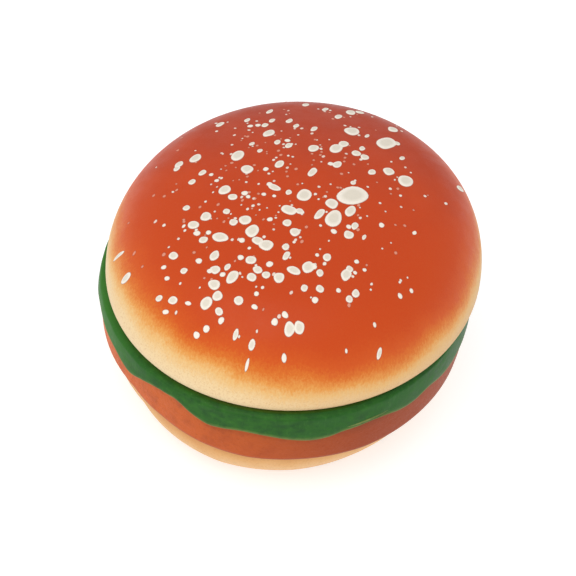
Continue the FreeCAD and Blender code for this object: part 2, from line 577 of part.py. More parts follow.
def keypad_deck():
    """The oval deck under the lid: key windows, mouthpiece slots, line-switch hole and the posts below it."""
    plate = oval("deck_plate", cylinder("deck_round", 0, 0, 0, "deck_reach", "deck_wall"), "deck_z")
    adds, takes = [plate], []
    through = "deck_wall + 2"
    for name, x, y, wide, deep in key_places():
        takes.append(box(name + "_window", x, y, "deck_z - 1", f"{wide} + 2 * key_side_gap",
                         f"{deep} + 2 * key_side_gap", through))
    for i in (-1, 0, 1):
        long = 8 if i == 0 else 6
        takes.append(box(f"mike_slot_{i + 1}", 0, f"mike_y + {i} * 2.8", "deck_z - 1", long, 1.3, through))
    takes.append(cylinder("hook_hole", 0, "hook_y", "deck_z - 1", "hook_radius + 0.25", through))
    takes.append(cylinder("deck_lead_hole", 14, 50, "deck_z - 1", "lead_radius + 0.3", through))
    for i, (sx, sy) in enumerate(CORNERS):
        x, y = f"{sx} * base_screw_x", f"{sy} * base_screw_y"
        adds.append(cylinder(f"deck_post_{i}", x, y, "boss_join_z", "boss_radius", "deck_z - boss_join_z + 0.5"))
        takes.append(cylinder(f"deck_pilot_{i}", x, y, "boss_join_z - 1", "shank_radius + 0.03", 13))
        board_y = "board_back_y - 3.5" if sy > 0 else "board_front_y + 3.5"
        adds.append(cylinder(f"board_post_{i}", f"{sx} * (board_wide / 2 - 3)", board_y, BOARD_TOP, 2.5,
                             f"deck_z - {BOARD_TOP} + 0.5"))
        takes.append(cylinder(f"board_pilot_{i}", f"{sx} * (board_wide / 2 - 3)", board_y, f"{BOARD_TOP} - 1",
                              "shank_radius + 0.03", 6))
    adds.append(cylinder("mike_well", 0, "mike_y", "deck_z - 4", "boot_radius + 1.3", 4.5))
    takes.append(cylinder("mike_well_inside", 0, "mike_y", "deck_z - 5", "boot_radius + 0.05", 5))
    for s in (-1, 1):
        adds.append(box(f"hook_cheek_{s + 1}", f"{s} * 8", "hook_y", "hook_body_z", 1.6, 10,
                        "deck_z - hook_body_z + 0.5"))
    return export("keypad_deck", cut("keypad_deck", fuse("deck_body", *adds), *takes))


def key_mat():
    """The silicone mat on the board, with one collapsing dome under each key."""
    shapes = [box("mat_sheet", 0, 1.7, BOARD_TOP, "mat_wide", 65.2, "mat_thick")]
    for name, x, y, wide, deep in key_places():
        dome = doc.addObject("Part::Cone", name + "_dome")
        bind(dome, Radius1="dome_radius" if "menu" not in wide else "menu_key_deep / 2 - 0.2",
             Radius2="dome_top_radius", Height=f"key_low_z - {BOARD_TOP} - mat_thick")
        shapes.append(place(dome, x, y, f"{BOARD_TOP} + mat_thick"))
    return export("key_mat", fuse("key_mat", *shapes))


def board_and_parts():
    long, middle = "(board_back_y - board_front_y)", "(board_back_y + board_front_y) / 2"
    board = box("board_blank", 0, middle, "board_z", "board_wide", long, "board_thick")
    corners = [(f"{sx} * (board_wide / 2 - 3)", "board_back_y - 3.5" if sy > 0 else "board_front_y + 3.5")
               for sx, sy in CORNERS]
    holes = [cylinder(f"board_hole_{i}", x, y, "board_z - 1", "shank_radius + 0.2", 4)
             for i, (x, y) in enumerate(corners)]
    export("main_board", cut("main_board", board, *holes))
    export("board_screws", group("board_screws", *[
        screw(f"board_screw_{i}", x, y, "board_z", 6, True) for i, (x, y) in enumerate(corners)]))
    chip = box("chip_body", 0, -2, "board_z - 4", 24, 7, 3.4)
    legs = [box(f"chip_leg_{i}_{s + 1}", f"{i} * 2.54 - 10.16", f"-2 + {s} * 3.7", "board_z - 2.4", 0.6, 0.4, 2.4)
            for i in range(9) for s in (-1, 1)]
    export("dialler_chip", fuse("dialler_chip", chip, *legs))
    export("capacitors", group("capacitors", *[
        cylinder(f"capacitor_{i}", x, y, f"board_z - {high}", radius, high)
        for i, (x, y, radius, high) in enumerate([(12, -20, 4, 12), (-2, -24, 3.1, 11), (19, 14, 3.1, 11)])]))
    export("line_transformer", box("line_transformer", -14, 19, "board_z - 14", 18, 15, 14))
    resistors = []
    for i in range(6):
        rod = bind(doc.addObject("Part::Cylinder", f"resistor_{i}"), Radius=1.1, Height=6.5)
        rod.Placement = Placement(Vector(), Rotation(Vector(0, 1, 0), 90))
        resistors.append(place(rod, -21, -12 - 3.6 * i, "board_z - 1.1"))
    export("resistors", group("resistors", *resistors))


def line_switch():
    """The plunger that the lid holds down, its spring and the leaf switch below."""
    stem = cylinder("hook_stem", 0, "hook_y", "hook_body_top - 4", 1.3, "hook_flange_z - hook_body_top + 4.5")
    flange = cylinder("hook_flange", 0, "hook_y", "hook_flange_z", 4.4, 1.1)
    head = cylinder("hook_head", 0, "hook_y", "hook_flange_z + 0.5", "hook_radius", "hook_top_z - hook_flange_z - 0.5")
    export("hook_plunger", fuse("hook_plunger", stem, flange, head))
    body = box("hook_switch_block", 0, "hook_y", "hook_body_z", 14.2, 10, "hook_body_top - hook_body_z")
    bore = cylinder("hook_switch_bore", 0, "hook_y", "hook_body_z + 1.5", 1.5, 10)
    export("hook_switch_body", cut("hook_switch_body", body, bore))
    coil_radius, wire_radius, turns = 2.5, 0.25, 4
    high = number("hook_flange_z - hook_body_top") - 2 * wire_radius - 0.1
    path = Part.makeHelix(high / turns, high, coil_radius)
    section = Part.Wire(Part.Circle(Vector(coil_radius, 0, 0), Vector(0, 1, 0), wire_radius).toShape())
    coil = Part.Wire(path).makePipeShell([section], True, True)
    spring = doc.addObject("Part::Feature", "hook_spring")
    spring.Shape = coil
    export("hook_spring", place(spring, 0, "hook_y", f"hook_body_top + {wire_radius + 0.05}"))


def microphone():
    capsule_z = "(deck_z - 0.6 - mike_high)"
    export("microphone_capsule", cylinder("microphone_capsule", 0, "mike_y", capsule_z, "mike_radius", "mike_high"))
    boot = cylinder("boot_outside", 0, "mike_y", f"{capsule_z} - 0.8", "boot_radius", "mike_high + 1.4")
    room = cylinder("boot_inside", 0, "mike_y", capsule_z, "mike_radius", "mike_high")
    mouth = cylinder("boot_mouth", 0, "mike_y", capsule_z, "mike_radius - 0.8", "mike_high + 4")
    export("microphone_boot", cut("microphone_boot", boot, room, mouth))


def line_socket():
    middle = "jack_mouth_y - jack_deep / 2"
    block = box("jack_block", 0, middle, "jack_z", "jack_wide", "jack_deep", "jack_high")
    plug_room = box("jack_plug_room", 0, "jack_mouth_y - 5.5", "jack_z + 2.6", 9.9, 12.5, 7.2)
    latch_room = box("jack_latch_room", 0, "jack_mouth_y - 5.5", "jack_z + 1", 6.4, 12.5, 1.8)
    export("jack_housing", cut("jack_housing", block, plug_room, latch_room))
    wires = []
    for i in range(4):
        rod = bind(doc.addObject("Part::Cylinder", f"jack_wire_{i}"), Radius=0.25, Height=11.4)
        rod.Placement = Placement(Vector(), Rotation(Vector(1, 0, 0), -92))
        wires.append(place(rod, f"{i} * 1.02 - 1.53", "jack_mouth_y - jack_deep + 1.85", "jack_z + 9.2"))
    export("jack_contacts", group("jack_contacts", *wires))


def floor_parts():
    export("ringer_sounder", place(turned("ringer_turned", [
        ("0", 0), ("sounder_radius", 0), ("sounder_radius", "sounder_high - 1.5"),
        ("sounder_radius - 1.5", "sounder_high"), ("4", "sounder_high"), ("4", "sounder_high - 1"),
        ("0", "sounder_high - 1"),
    ]), 0, "sounder_y", FLOOR_TOP))
    plate = box("ballast_blank", 0, "ballast_y", FLOOR_TOP, 46, 26, 5)
    plate_holes = [cylinder(f"ballast_hole_{s + 1}", f"{s} * 16", "ballast_y", f"{FLOOR_TOP} - 1", 3.4, 8)
                   for s in (-1, 1)]
    export("ballast_plate", cut("ballast_plate", plate, *plate_holes))
    washers = [cylinder(f"washer_{s + 1}", f"{s} * 16", "ballast_y", f"{FLOOR_TOP} + 5", 5, 0.8) for s in (-1, 1)]
    washer_holes = [cylinder(f"washer_hole_{s + 1}", f"{s} * 16", "ballast_y", f"{FLOOR_TOP} + 4", "shank_radius + 0.2", 3)
                    for s in (-1, 1)]
    export("ballast_washers", cut("ballast_washers", group("washer_discs", *washers), *washer_holes))
    export("ballast_screws", group("ballast_screws", *[
        screw(f"ballast_screw_{s + 1}", f"{s} * 16", "ballast_y", f"{FLOOR_TOP} + 5.8", 6, False) for s in (-1, 1)]))
    for s, name in ((-1, "ringer"), (1, "tone")):
        x = f"{s} * switch_x"
        body = box(f"{name}_switch_block", x, 0, FLOOR_TOP, 7.6, 18, 6)
        slot = box(f"{name}_switch_slot", x, 0, f"{FLOOR_TOP} - 1", 4.2, 9, 3.2)
        export(f"{name}_switch_body", cut(f"{name}_switch_body", body, slot))
        shoe = box(f"{name}_knob_shoe", x, -2, f"{FLOOR_TOP} + 0.6", 3.8, 4.6, 1.4)
        thumb = box(f"{name}_knob_thumb", x, -2, "floor_z + 0.5", 3.2, 3, f"{FLOOR_TOP} - floor_z + 0.5")
        export(f"{name}_switch_knob", fuse(f"{name}_switch_knob", shoe, thumb))


def leads():
    board_top, panel = number(BOARD_TOP), number("lid_panel_z")
    lead("receiver_lead_base", [(16, 36.6, board_top), (16, 36.6, 31.4), (15.2, 42, 31.6), (14, 50, 31.4),
                                (14, 50, panel)])
    lead("receiver_lead_lid", [(14, 50, panel), (14, 50, 45), (13, 42, 51), (10, 27, 56), (7, 14, 58.5),
                               (6, 7.5, 59), (6, 7.5, number(CAPSULE_TOP))])
    lead("jack_lead", [(0, number("jack_mouth_y - jack_deep"), 12), (0, 40, 12), (2.5, 35.8, 17),
                       (4, 34.2, 23), (4, 34.2, number("board_z"))])


def build():
    top_bun_shell()
    lid_panel()
    lid_panel_screws()
    earpiece()
    hinge_pin()
    lettuce_collar()
    lettuce_skirt()
    patty_ring()
    bottom_bun_shell()
    base_fixings()
    for place_of_key in key_places():
        key(*place_of_key)
    keypad_deck()
    key_mat()
    board_and_parts()
    line_switch()
    microphone()
    line_socket()
    floor_parts()
    leads()


def check_and_write():
    doc.recompute()
    failed = [o.Name for o in doc.Objects if any(s in ("Invalid", "Error") for s in o.State)]
    if failed:
        raise RuntimeError("these objects failed to compute: " + ", ".join(failed))
    for obj in exports:
        if obj.Shape.isNull() or not obj.Shape.isValid() or not obj.Shape.Solids:
            raise RuntimeError(obj.Label + " has no valid solid")
    os.makedirs("parts", exist_ok=True)
    for obj in exports:
        obj.Shape.exportStep(os.path.join("parts", obj.Label + ".step"))
    print(len(exports), "sub-parts written")


build()
check_and_write()
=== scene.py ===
"""The looks of the hamburger telephone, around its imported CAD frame.

Everything is in the row frame in metres. Sizes typed here are millimetres and become metres through MM.
Angles round the burger are in degrees, 0 at +X and -90 at the front.
"""

import json
import math
import random

import bmesh
import bpy
from mathutils import Matrix, Vector, noise

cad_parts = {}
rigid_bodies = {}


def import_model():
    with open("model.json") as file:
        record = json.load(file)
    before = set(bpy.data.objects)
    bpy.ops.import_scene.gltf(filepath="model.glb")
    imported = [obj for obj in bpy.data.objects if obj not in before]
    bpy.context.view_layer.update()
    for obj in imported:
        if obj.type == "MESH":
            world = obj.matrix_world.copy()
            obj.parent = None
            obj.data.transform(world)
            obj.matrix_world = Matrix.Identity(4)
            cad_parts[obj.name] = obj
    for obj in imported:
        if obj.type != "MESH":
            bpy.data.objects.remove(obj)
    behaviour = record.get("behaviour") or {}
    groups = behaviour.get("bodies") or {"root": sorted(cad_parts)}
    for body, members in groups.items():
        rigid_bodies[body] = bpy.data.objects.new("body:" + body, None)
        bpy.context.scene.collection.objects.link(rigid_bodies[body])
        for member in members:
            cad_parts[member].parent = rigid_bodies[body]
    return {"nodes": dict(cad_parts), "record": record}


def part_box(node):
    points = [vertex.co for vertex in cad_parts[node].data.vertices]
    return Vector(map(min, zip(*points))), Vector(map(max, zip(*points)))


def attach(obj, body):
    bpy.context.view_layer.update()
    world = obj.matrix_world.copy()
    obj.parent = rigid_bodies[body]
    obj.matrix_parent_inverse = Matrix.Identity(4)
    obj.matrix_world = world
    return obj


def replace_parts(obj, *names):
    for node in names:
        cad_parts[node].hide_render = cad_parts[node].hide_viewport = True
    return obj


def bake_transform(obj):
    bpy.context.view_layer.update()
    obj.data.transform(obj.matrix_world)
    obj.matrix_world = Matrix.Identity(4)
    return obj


for leftover in list(bpy.data.objects):
    bpy.data.objects.remove(leftover)
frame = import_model()
bpy.context.view_layer.update()

MM = 0.001
PLAN_RATIO = 0.887                 # every layer is an oval, this much narrower in X than in Y
BUN_REACH = 66                     # half the bun's length along Y
CENTRE_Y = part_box("top_bun_shell")[0].y / MM + BUN_REACH
CROWN_RADIUS, CROWN_Z = 168, -93   # the bun's profile: a flat crown ...
SHOULDER_RADIUS, SHOULDER_REACH, SHOULDER_Z = 27, 39, 42.5      # ... and a round shoulder
CROWN_END = 46                     # the reach where one becomes the other
STEEPEST = 0.999                   # the sine of the steepest slope that a paint spot sits on

# A reach is a distance from the oval's middle, measured along Y or stretched to it.
# The lower layers aren't true ovals: how far their sides are drawn in, by angle.
PATTY_IN = [
    (-180, -1.8), (-155, -1.2), (-140, 0.5), (-125, 2.4), (-110, 2.2), (-95, 0.8), (-80, 0), (-65, 0.3),
    (-45, 0.2), (-25, 1.4), (0, 2.6), (30, 2.8), (60, 1.5), (90, 0), (120, 0), (150, -1), (180, -1.8),
]
BOTTOM_IN = [
    (-180, -2.2), (-155, -1.5), (-140, 0.6), (-125, 2.6), (-110, 1.4), (-90, 0), (-65, 1.0), (-45, 3.0),
    (-25, 4.2), (0, 4.2), (30, 3.6), (60, 2.0), (90, 0), (120, 0), (150, -1.3), (180, -2.2),
]
LAYER_START, BOTTOM_START = 60.5, 46       # the reaches beyond which the layers and the bottom bun are drawn in
SEAT_Z = 20                                # the patty's seat in the bottom bun ends below this


def srgb(red, green, blue):
    """A colour given as 0-255 screen values, as Blender's linear colour."""
    def linear(value):
        value = value / 255
        return value / 12.92 if value <= 0.04045 else ((value + 0.055) / 1.055) ** 2.4
    return (linear(red), linear(green), linear(blue), 1)


# ---------------------------------------------------------------- materials

class Look:
    """A material whose nodes are added one at a time; each step gives the socket that the next one uses."""

    def __init__(self, name, **sockets):
        self.material = bpy.data.materials.new(name)
        self.material.use_nodes = True
        self.nodes = self.material.node_tree.nodes
        self.links = self.material.node_tree.links
        self.shader = self.nodes["Principled BSDF"]
        for socket, value in sockets.items():
            self.shader.inputs[socket.replace("_", " ")].default_value = value
        coordinates = self.nodes.new("ShaderNodeTexCoord")
        metres = coordinates.outputs["Object"]
        self.place = self.step("VectorMath", 0, {0: metres, "Scale": 1 / MM}, operation="SCALE")
        self.x, self.y, self.z = (self.step("SeparateXYZ", axis, {0: self.place}) for axis in range(3))

    def step(self, kind, out, inputs, **settings):
        """Adds a node and gives one of its outputs; an input is a socket to link or a plain value."""
        node = self.nodes.new("ShaderNode" + kind)
        for name, value in settings.items():
            setattr(node, name, value)
        for key, value in inputs.items():
            if isinstance(value, bpy.types.NodeSocket):
                self.links.new(value, node.inputs[key])
            else:
                node.inputs[key].default_value = value
        return node.outputs[out]

    def math(self, operation, a, b):
        return self.step("Math", 0, {0: a, 1: b}, operation=operation)

    def add(self, a, b):
        return self.math("ADD", a, b)

    def times(self, a, b):
        return self.math("MULTIPLY", a, b)

    def span(self, value, low, high, to_low=0.0, to_high=1.0):
        """value from low..high, moved to to_low..to_high and held there."""
        return self.step("MapRange", 0, {0: value, 1: low, 2: high, 3: to_low, 4: to_high})

    def noise(self, size, detail=3, rough=0.5, stretch=(1, 1, 1), move=0.0):
        """Noise whose features are about size mm across."""
        moved = {0: self.place, 1: stretch, 2: (move, move, move)}
        where = self.step("VectorMath", 0, moved, operation="MULTIPLY_ADD")
        texture = {"Vector": where, "Scale": 1 / size, "Detail": detail, "Roughness": rough}
        return self.step("TexNoise", 0, texture)

    def cells(self, size, **settings):
        """Distances within irregular cells about size mm across."""
        return self.step("TexVoronoi", "Distance", {"Vector": self.place, "Scale": 1 / size}, **settings)

    def ramp(self, value, stops):
        """The colour at value, from stops of position and colour."""
        node = self.nodes.new("ShaderNodeValToRGB")
        elements = node.color_ramp.elements
        while len(elements) < len(stops):
            elements.new(0.5)
        for element, (position, colour) in zip(elements, stops):
            element.position = position
            element.color = srgb(*colour)
        self.links.new(value, node.inputs[0])
        return node.outputs[0]

    def mix(self, share, a, b):
        """Colour a, with a share of colour b; each is a socket or three screen values."""
        a, b = (srgb(*colour) if isinstance(colour, tuple) else colour for colour in (a, b))
        return self.step("Mix", 2, {0: share, 6: a, 7: b}, data_type="RGBA")

    def attribute(self, name):
        """A float value that the mesh carries on its points."""
        return self.step("Attribute", "Fac", {}, attribute_name=name)

    def finish(self, colour, rough, height=None, depth=0.1):
        """Sets the colour, the roughness, and a height socket that stands for depth mm."""
        self.links.new(colour, self.shader.inputs["Base Color"])
        self.links.new(rough, self.shader.inputs["Roughness"])
        if height is not None:
            normal = self.step("Bump", 0, {"Strength": 1, "Distance": depth * MM, "Height": height})
            self.links.new(normal, self.shader.inputs["Normal"])
        return self.material


def moulded(name, colour, shade, rough=0.45, grain=0.9, depth=0.03, blotch=14, **sockets):
    """Moulded plastic or rubber: a fine skin, slight blotches of shade, and roughness that varies a little."""
    look = Look(name, **sockets)
    skin = look.noise(grain, 4, 0.6)
    drift = look.span(look.noise(blotch, 2), 0.35, 0.65)
    speck = look.span(look.noise(grain * 3, 5, 0.7, move=9.0), 0.45, 0.75, 0, 0.5)
    tone = look.mix(look.times(drift, 0.6), colour, shade)
    tone = look.mix(speck, tone, shade)
    roughness = look.span(look.noise(grain * 6, 3, 0.6, move=31.0), 0.3, 0.7, rough - 0.08, rough + 0.1)
    return look.finish(tone, roughness, skin, depth)


def metal(name, colour, shade, rough, stretch, grain=1.6):
    """Brushed or drawn metal, with fine lines across the stretched direction and dull patches."""
    look = Look(name, Metallic=1.0)
    lines = look.noise(grain, 5, 0.7, stretch)
    patch = look.span(look.noise(6, 3), 0.4, 0.75)
    tone = look.mix(patch, colour, shade)
    roughness = look.span(lines, 0.3, 0.7, rough - 0.07, rough + 0.07)
    roughness = look.add(roughness, look.times(patch, 0.1))
    return look.finish(tone, roughness, lines, 0.02)


def bun_crust():
    """Airbrushed vinyl, cream at the rim, then ochre and orange to a red-brown crown, with a sprayed grain."""
    look = Look("bun_crust", Specular_IOR_Level=0.16)
    fine = look.noise(0.55, 4, 0.75)
    streak = look.noise(0.75, 4, 0.75, (1.2, 1.2, 0.55), 5.0)
    wide = look.noise(16, 2, 0.5, move=40.0)

    # The spray follows the height, lower at the front's right than at its left, and wanders by a few mm.
    lean = look.times(look.times(look.x, look.y), -0.0015)
    level = look.add(look.z, look.add(lean, 0.5))
    level = look.add(level, look.span(streak, 0.25, 0.75, -1.8, 1.8))
    level = look.add(level, look.span(wide, 0.3, 0.7, -1.3, 1.3))
    sprayed = look.ramp(look.span(level, 38, 72), [
        (0.0, (240, 216, 176)), (0.22, (239, 208, 158)), (0.33, (236, 188, 120)), (0.4, (230, 156, 76)),
        (0.49, (220, 116, 40)), (0.58, (212, 88, 28)), (0.72, (204, 74, 23)), (1.0, (200, 68, 22))])

    # The crown is painted darker and browner towards the rear, as shade.
    across = look.step("VectorMath", 1, {0: look.place, 1: (-0.003, 0.011, 0)}, operation="DOT_PRODUCT")
    rear_shade = look.span(look.add(across, look.span(wide, 0.3, 0.7, -0.1, 0.1)), -0.1, 0.65)
    crown = look.span(level, 58, 66)
    tone = look.mix(look.times(rear_shade, crown), sprayed, (170, 56, 28))

    # The pale rim is darkened to tan on the right as painted shade; it is also freckled, and olive where it
    # sits on the leaf at the front.
    pale = look.span(level, 52, 44)
    right_shade = look.times(pale, look.span(look.x, 5, 50, 0, 0.55))
    tone = look.mix(right_shade, tone, (212, 156, 96))
    freckle = look.times(look.span(fine, 0.5, 0.72, 0, 0.45), look.add(look.times(pale, 0.8), 0.2))
    tone = look.mix(freckle, tone, (186, 118, 62))
    under = look.times(look.span(look.z, 39.2, 38.6), look.span(look.y, -30, -55))
    tone = look.mix(look.times(under, 0.5), tone, (148, 132, 52))

    roughness = look.span(look.noise(5, 4, 0.6), 0.3, 0.7, 0.36, 0.5)
    roughness = look.add(roughness, look.times(pale, 0.12))
    return look.finish(tone, roughness, look.add(fine, look.times(streak, 0.6)), 0.035)


def seed_paint():
    """Thick cream paint spots, greyer in the middle, with a thin dark outline that is a painted contact shadow;
    faint ones show the crust through.
    """
    look = Look("seed_paint", Specular_IOR_Level=0.4)
    core, faint, rim = look.attribute("core"), look.attribute("faint"), look.attribute("rim")
    tone = look.mix(look.times(core, 0.85), (246, 238, 224), (222, 213, 196))
    tone = look.mix(look.span(look.noise(0.7, 3), 0.5, 0.7, 0, 0.35), tone, (238, 226, 204))
    tone = look.mix(faint, tone, (222, 118, 80))
    # The outline ring is darkened as a painted contact shadow.
    tone = look.mix(look.span(rim, 0.35, 0.8, 0, 0.8), tone, (140, 58, 36))
    roughness = look.span(look.noise(1.4, 3), 0.3, 0.7, 0.4, 0.6)
    return look.finish(tone, roughness, look.noise(0.8, 3, 0.6), 0.05)


def lettuce():
    """Mottled green, faintly veined, lighter on the left, with a pale edge that is partly paint and partly a
    painted highlight, and an olive seam under the bun.
    """
    look = Look("lettuce_green", Specular_IOR_Level=0.18)
    edge = look.attribute("edge")
    mottle = look.noise(3.2, 4, 0.6, (1, 1, 1.5))
    vein = look.noise(1.3, 3, 0.6, (1.6, 1.6, 0.5), 12.0)
    broad = look.noise(15, 2, move=3.0)
    tone = look.mix(look.span(mottle, 0.35, 0.68), (30, 78, 26), (46, 102, 30))
    tone = look.mix(look.span(broad, 0.42, 0.68, 0, 0.7), tone, (34, 92, 28))
    tone = look.mix(look.span(vein, 0.56, 0.72, 0, 0.3), tone, (62, 118, 44))
    fleck = look.noise(0.6, 2, 0.5, move=21.0)
    tone = look.mix(look.span(fleck, 0.73, 0.8, 0, 0.5), tone, (124, 160, 92))
    tone = look.mix(look.span(look.x, -25, -50, 0, 0.7), tone, (60, 124, 40))
    # The pale edge colour is partly the paint's edge and partly a painted highlight.
    rim = look.times(edge, look.span(mottle, 0.3, 0.6, 0.35, 1))
    tone = look.mix(look.times(rim, 0.75), tone, (122, 132, 70))
    olive = look.times(look.attribute("seam"), look.span(look.y, -45, -60, 0.1, 1))
    tone = look.mix(look.times(olive, 0.7), tone, (112, 122, 36))
    height = look.add(mottle, look.times(vein, 0.5))
    return look.finish(tone, look.span(mottle, 0.3, 0.7, 0.42, 0.58), height, 0.12)


def patty():
    """Orange-brown on the left to dark brown on the right, shaded under the lettuce and at the lower edge."""
    look = Look("patty_brown", Specular_IOR_Level=0.18)
    grain, lump = look.noise(0.8, 4, 0.7), look.noise(4.5, 4, 0.6, move=7.0)
    side = look.span(look.add(look.x, look.times(look.y, 0.35)), -55, 25)
    tone = look.mix(side, (214, 100, 34), (156, 66, 28))
    tone = look.mix(look.span(lump, 0.45, 0.7, 0, 0.5), tone, (164, 68, 26))
    tone = look.mix(look.span(grain, 0.55, 0.8, 0, 0.5), tone, (140, 56, 24))
    wavy_z = look.add(look.z, look.span(lump, 0.3, 0.7, -2, 2))
    shaded = look.times(look.span(wavy_z, 27, 32.5), side)
    tone = look.mix(look.times(shaded, 0.55), tone, (112, 54, 26))
    low = look.span(look.add(look.z, look.span(lump, 0.3, 0.7, -0.4, 0.4)), 19.6, 18.2)
    tone = look.mix(look.times(low, 0.7), tone, (140, 52, 26))
    height = look.add(grain, look.times(lump, 2))
    return look.finish(tone, look.span(grain, 0.3, 0.7, 0.42, 0.6), height, 0.1)


def bun_pale():
    """The bottom bun: pale at mid height, browner towards its top and underside."""
    look = Look("bun_pale", Specular_IOR_Level=0.2)
    grain, wide = look.noise(0.7, 4, 0.75), look.noise(9, 3, move=4.0)
    level = look.add(look.z, look.span(wide, 0.3, 0.7, -1.5, 1.5))
    tone = look.ramp(look.span(level, 1, 18), [
        (0.0, (214, 158, 98)), (0.2, (226, 174, 116)), (0.45, (234, 188, 134)), (0.7, (228, 174, 112)),
        (0.95, (214, 150, 86))])
    tone = look.mix(look.span(grain, 0.5, 0.75, 0, 0.45), tone, (188, 128, 74))
    return look.finish(tone, look.span(grain, 0.3, 0.7, 0.45, 0.62), grain, 0.05)


def circuit_board():
    """Green solder mask over tracks, with bright pads."""
    look = Look("circuit_board", Specular_IOR_Level=0.5)
    tracks = look.span(look.cells(3.4, feature="DISTANCE_TO_EDGE"), 0.05, 0.09, 1, 0)
    pads = look.span(look.cells(2.6), 0.14, 0.18, 1, 0)
    tone = look.mix(look.span(look.noise(8), 0.4, 0.6), (28, 92, 50), (34, 104, 56))
    tone = look.mix(look.times(tracks, 0.7), tone, (62, 136, 74))
    tone = look.mix(look.times(pads, 0.8), tone, (192, 192, 184))
    return look.finish(tone, look.span(pads, 0, 1, 0.42, 0.25), look.add(tracks, pads), 0.03)


def laminated():
    """A transformer's stacked sheets."""
    look = Look("transformer_core", Metallic=0.6)
    waves = {"Vector": look.place, "Scale": 0.9, "Distortion": 0.4}
    sheets = look.step("TexWave", 0, waves, bands_direction="X")
    tone = look.mix(look.span(sheets, 0.2, 0.6), (52, 48, 46), (88, 84, 80))
    tone = look.mix(look.span(look.noise(2.2, 4), 0.55, 0.7, 0, 0.6), tone, (120, 74, 46))
    return look.finish(tone, look.span(sheets, 0, 1, 0.45, 0.6), sheets, 0.08)


def resistor_body():
    """Tan bodies with brown bands."""
    look = Look("resistor_body", Specular_IOR_Level=0.5)
    bands = look.step("TexWave", 0, {"Vector": look.place, "Scale": 0.22}, bands_direction="X")
    tone = look.mix(look.span(bands, 0.78, 0.86), (206, 176, 128), (120, 58, 36))
    tone = look.mix(look.span(look.noise(1.2), 0.45, 0.7, 0, 0.3), tone, (180, 148, 104))
    return look.finish(tone, look.span(look.noise(1.2), 0.3, 0.7, 0.28, 0.42), look.noise(1.0), 0.03)


def foam():
    """Dark foam with open pores."""
    look = Look("foam")
    pores = look.cells(0.8)
    tone = look.mix(look.span(pores, 0.1, 0.5), (34, 34, 36), (66, 66, 68))
    return look.finish(tone, look.span(pores, 0, 0.6, 0.95, 0.8), pores, 0.2)


LOOKS = {
    "bun_crust": bun_crust(), "lettuce_green": lettuce(), "patty_brown": patty(), "bun_pale": bun_pale(),
    "cream_panel": moulded("cream_panel", (236, 226, 200), (226, 212, 182), 0.42, 0.7, 0.03),
    "key_brown": moulded("key_brown", (104, 62, 40), (82, 46, 30), 0.36, 0.5, 0.02, 6, Coat_Weight=0.15),
    "silicone": moulded("silicone", (176, 176, 170), (156, 156, 152), 0.6, 1.2),
    "black_plastic": moulded("black_plastic", (38, 38, 38), (28, 28, 28), 0.45, 0.6),
    "circuit_board": circuit_board(),
    "dark_parts": moulded("dark_parts", (34, 34, 38), (48, 48, 52), 0.5, 0.5),
    "resistor_body": resistor_body(),
    "transformer_core": laminated(),
    "steel": metal("steel", (196, 198, 200), (160, 160, 160), 0.32, (0.25, 2.4, 1)),
    "gold_contact": metal("gold_contact", (226, 190, 110), (200, 160, 86), 0.22, (1, 0.2, 1)),
    "rubber": moulded("rubber", (44, 44, 44), (34, 34, 34), 0.72, 0.8, 0.05),
    "foam": foam(),
    "lead_sleeve": moulded("lead_sleeve", (224, 216, 192), (206, 196, 168), 0.4, 0.8, 0.02),
    "knob_white": moulded("knob_white", (236, 232, 220), (222, 216, 200), 0.38, 0.6),
}
seed_look = seed_paint()
print_look = moulded("key_print", (240, 230, 206), (226, 212, 180), 0.4, 0.4)

SLOT_OF = {row["node"]: row["material_slot"] for row in frame["record"]["subparts"]}
for node_name, node_object in frame["nodes"].items():
    for material_slot in node_object.material_slots:
        material_slot.material = LOOKS[SLOT_OF[node_name]]


# ---------------------------------------------------------------- pieces

def add_piece(name, mesh, material, body):
    """Links a mesh that is already in the row frame as a piece that rides on a body."""
    mesh.materials.append(material)
    piece = bpy.data.objects.new(name, mesh)
    bpy.context.collection.objects.link(piece)
    if body:
        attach(piece, body)
    return piece


def mesh_from(name, points, faces, smooth=True, **attributes):
    """A mesh of points in mm, with float values for its points."""
    mesh = bpy.data.meshes.new(name)
    mesh.from_pydata([(x * MM, y * MM, z * MM) for x, y, z in points], [], faces)
    for polygon in mesh.polygons:
        polygon.use_smooth = smooth
    for key, values in attributes.items():
        mesh.attributes.new(key, "FLOAT", "POINT").data.foreach_set("value", values)
    mesh.update()
    return mesh


def evaluated_mesh(curve):
    """The mesh that a curve or a text makes, in place of it."""
    carrier = bpy.data.objects.new(curve.name, curve)
    bpy.context.collection.objects.link(carrier)
    bpy.context.view_layer.update()
    graph = bpy.context.evaluated_depsgraph_get()
    mesh = bpy.data.meshes.new_from_object(carrier.evaluated_get(graph))
    bpy.data.objects.remove(carrier)
    mesh.materials.clear()
    return mesh


def tube_faces(rows, sides):
    """The sides of a tube whose points run round it row by row."""
    faces = []
    for row in range(rows - 1):
        for side in range(sides):
            a, b = row * sides + side, row * sides + (side + 1) % sides
            faces.append((a, b, b + sides, a + sides))
    return faces


def on_crust(x, y, lift):
    """The point lift mm outside the bun, over x, y measured from the oval's middle."""
    reach = math.hypot(x / PLAN_RATIO, y)
    if reach < CROWN_END:
        z = CROWN_Z + math.sqrt(CROWN_RADIUS ** 2 - reach ** 2)
        out, up = reach / CROWN_RADIUS, (z - CROWN_Z) / CROWN_RADIUS
    else:
        out = min((reach - SHOULDER_REACH) / SHOULDER_RADIUS, STEEPEST)
        up = math.sqrt(1 - out ** 2)
        z = SHOULDER_Z + SHOULDER_RADIUS * up
    if reach > 0:
        normal = Vector((out * x / PLAN_RATIO / reach / PLAN_RATIO, out * y / reach, up)).normalized()
    else:
        normal = Vector((0, 0, 1))
    return Vector((x, y + CENTRE_Y, z)) + normal * lift


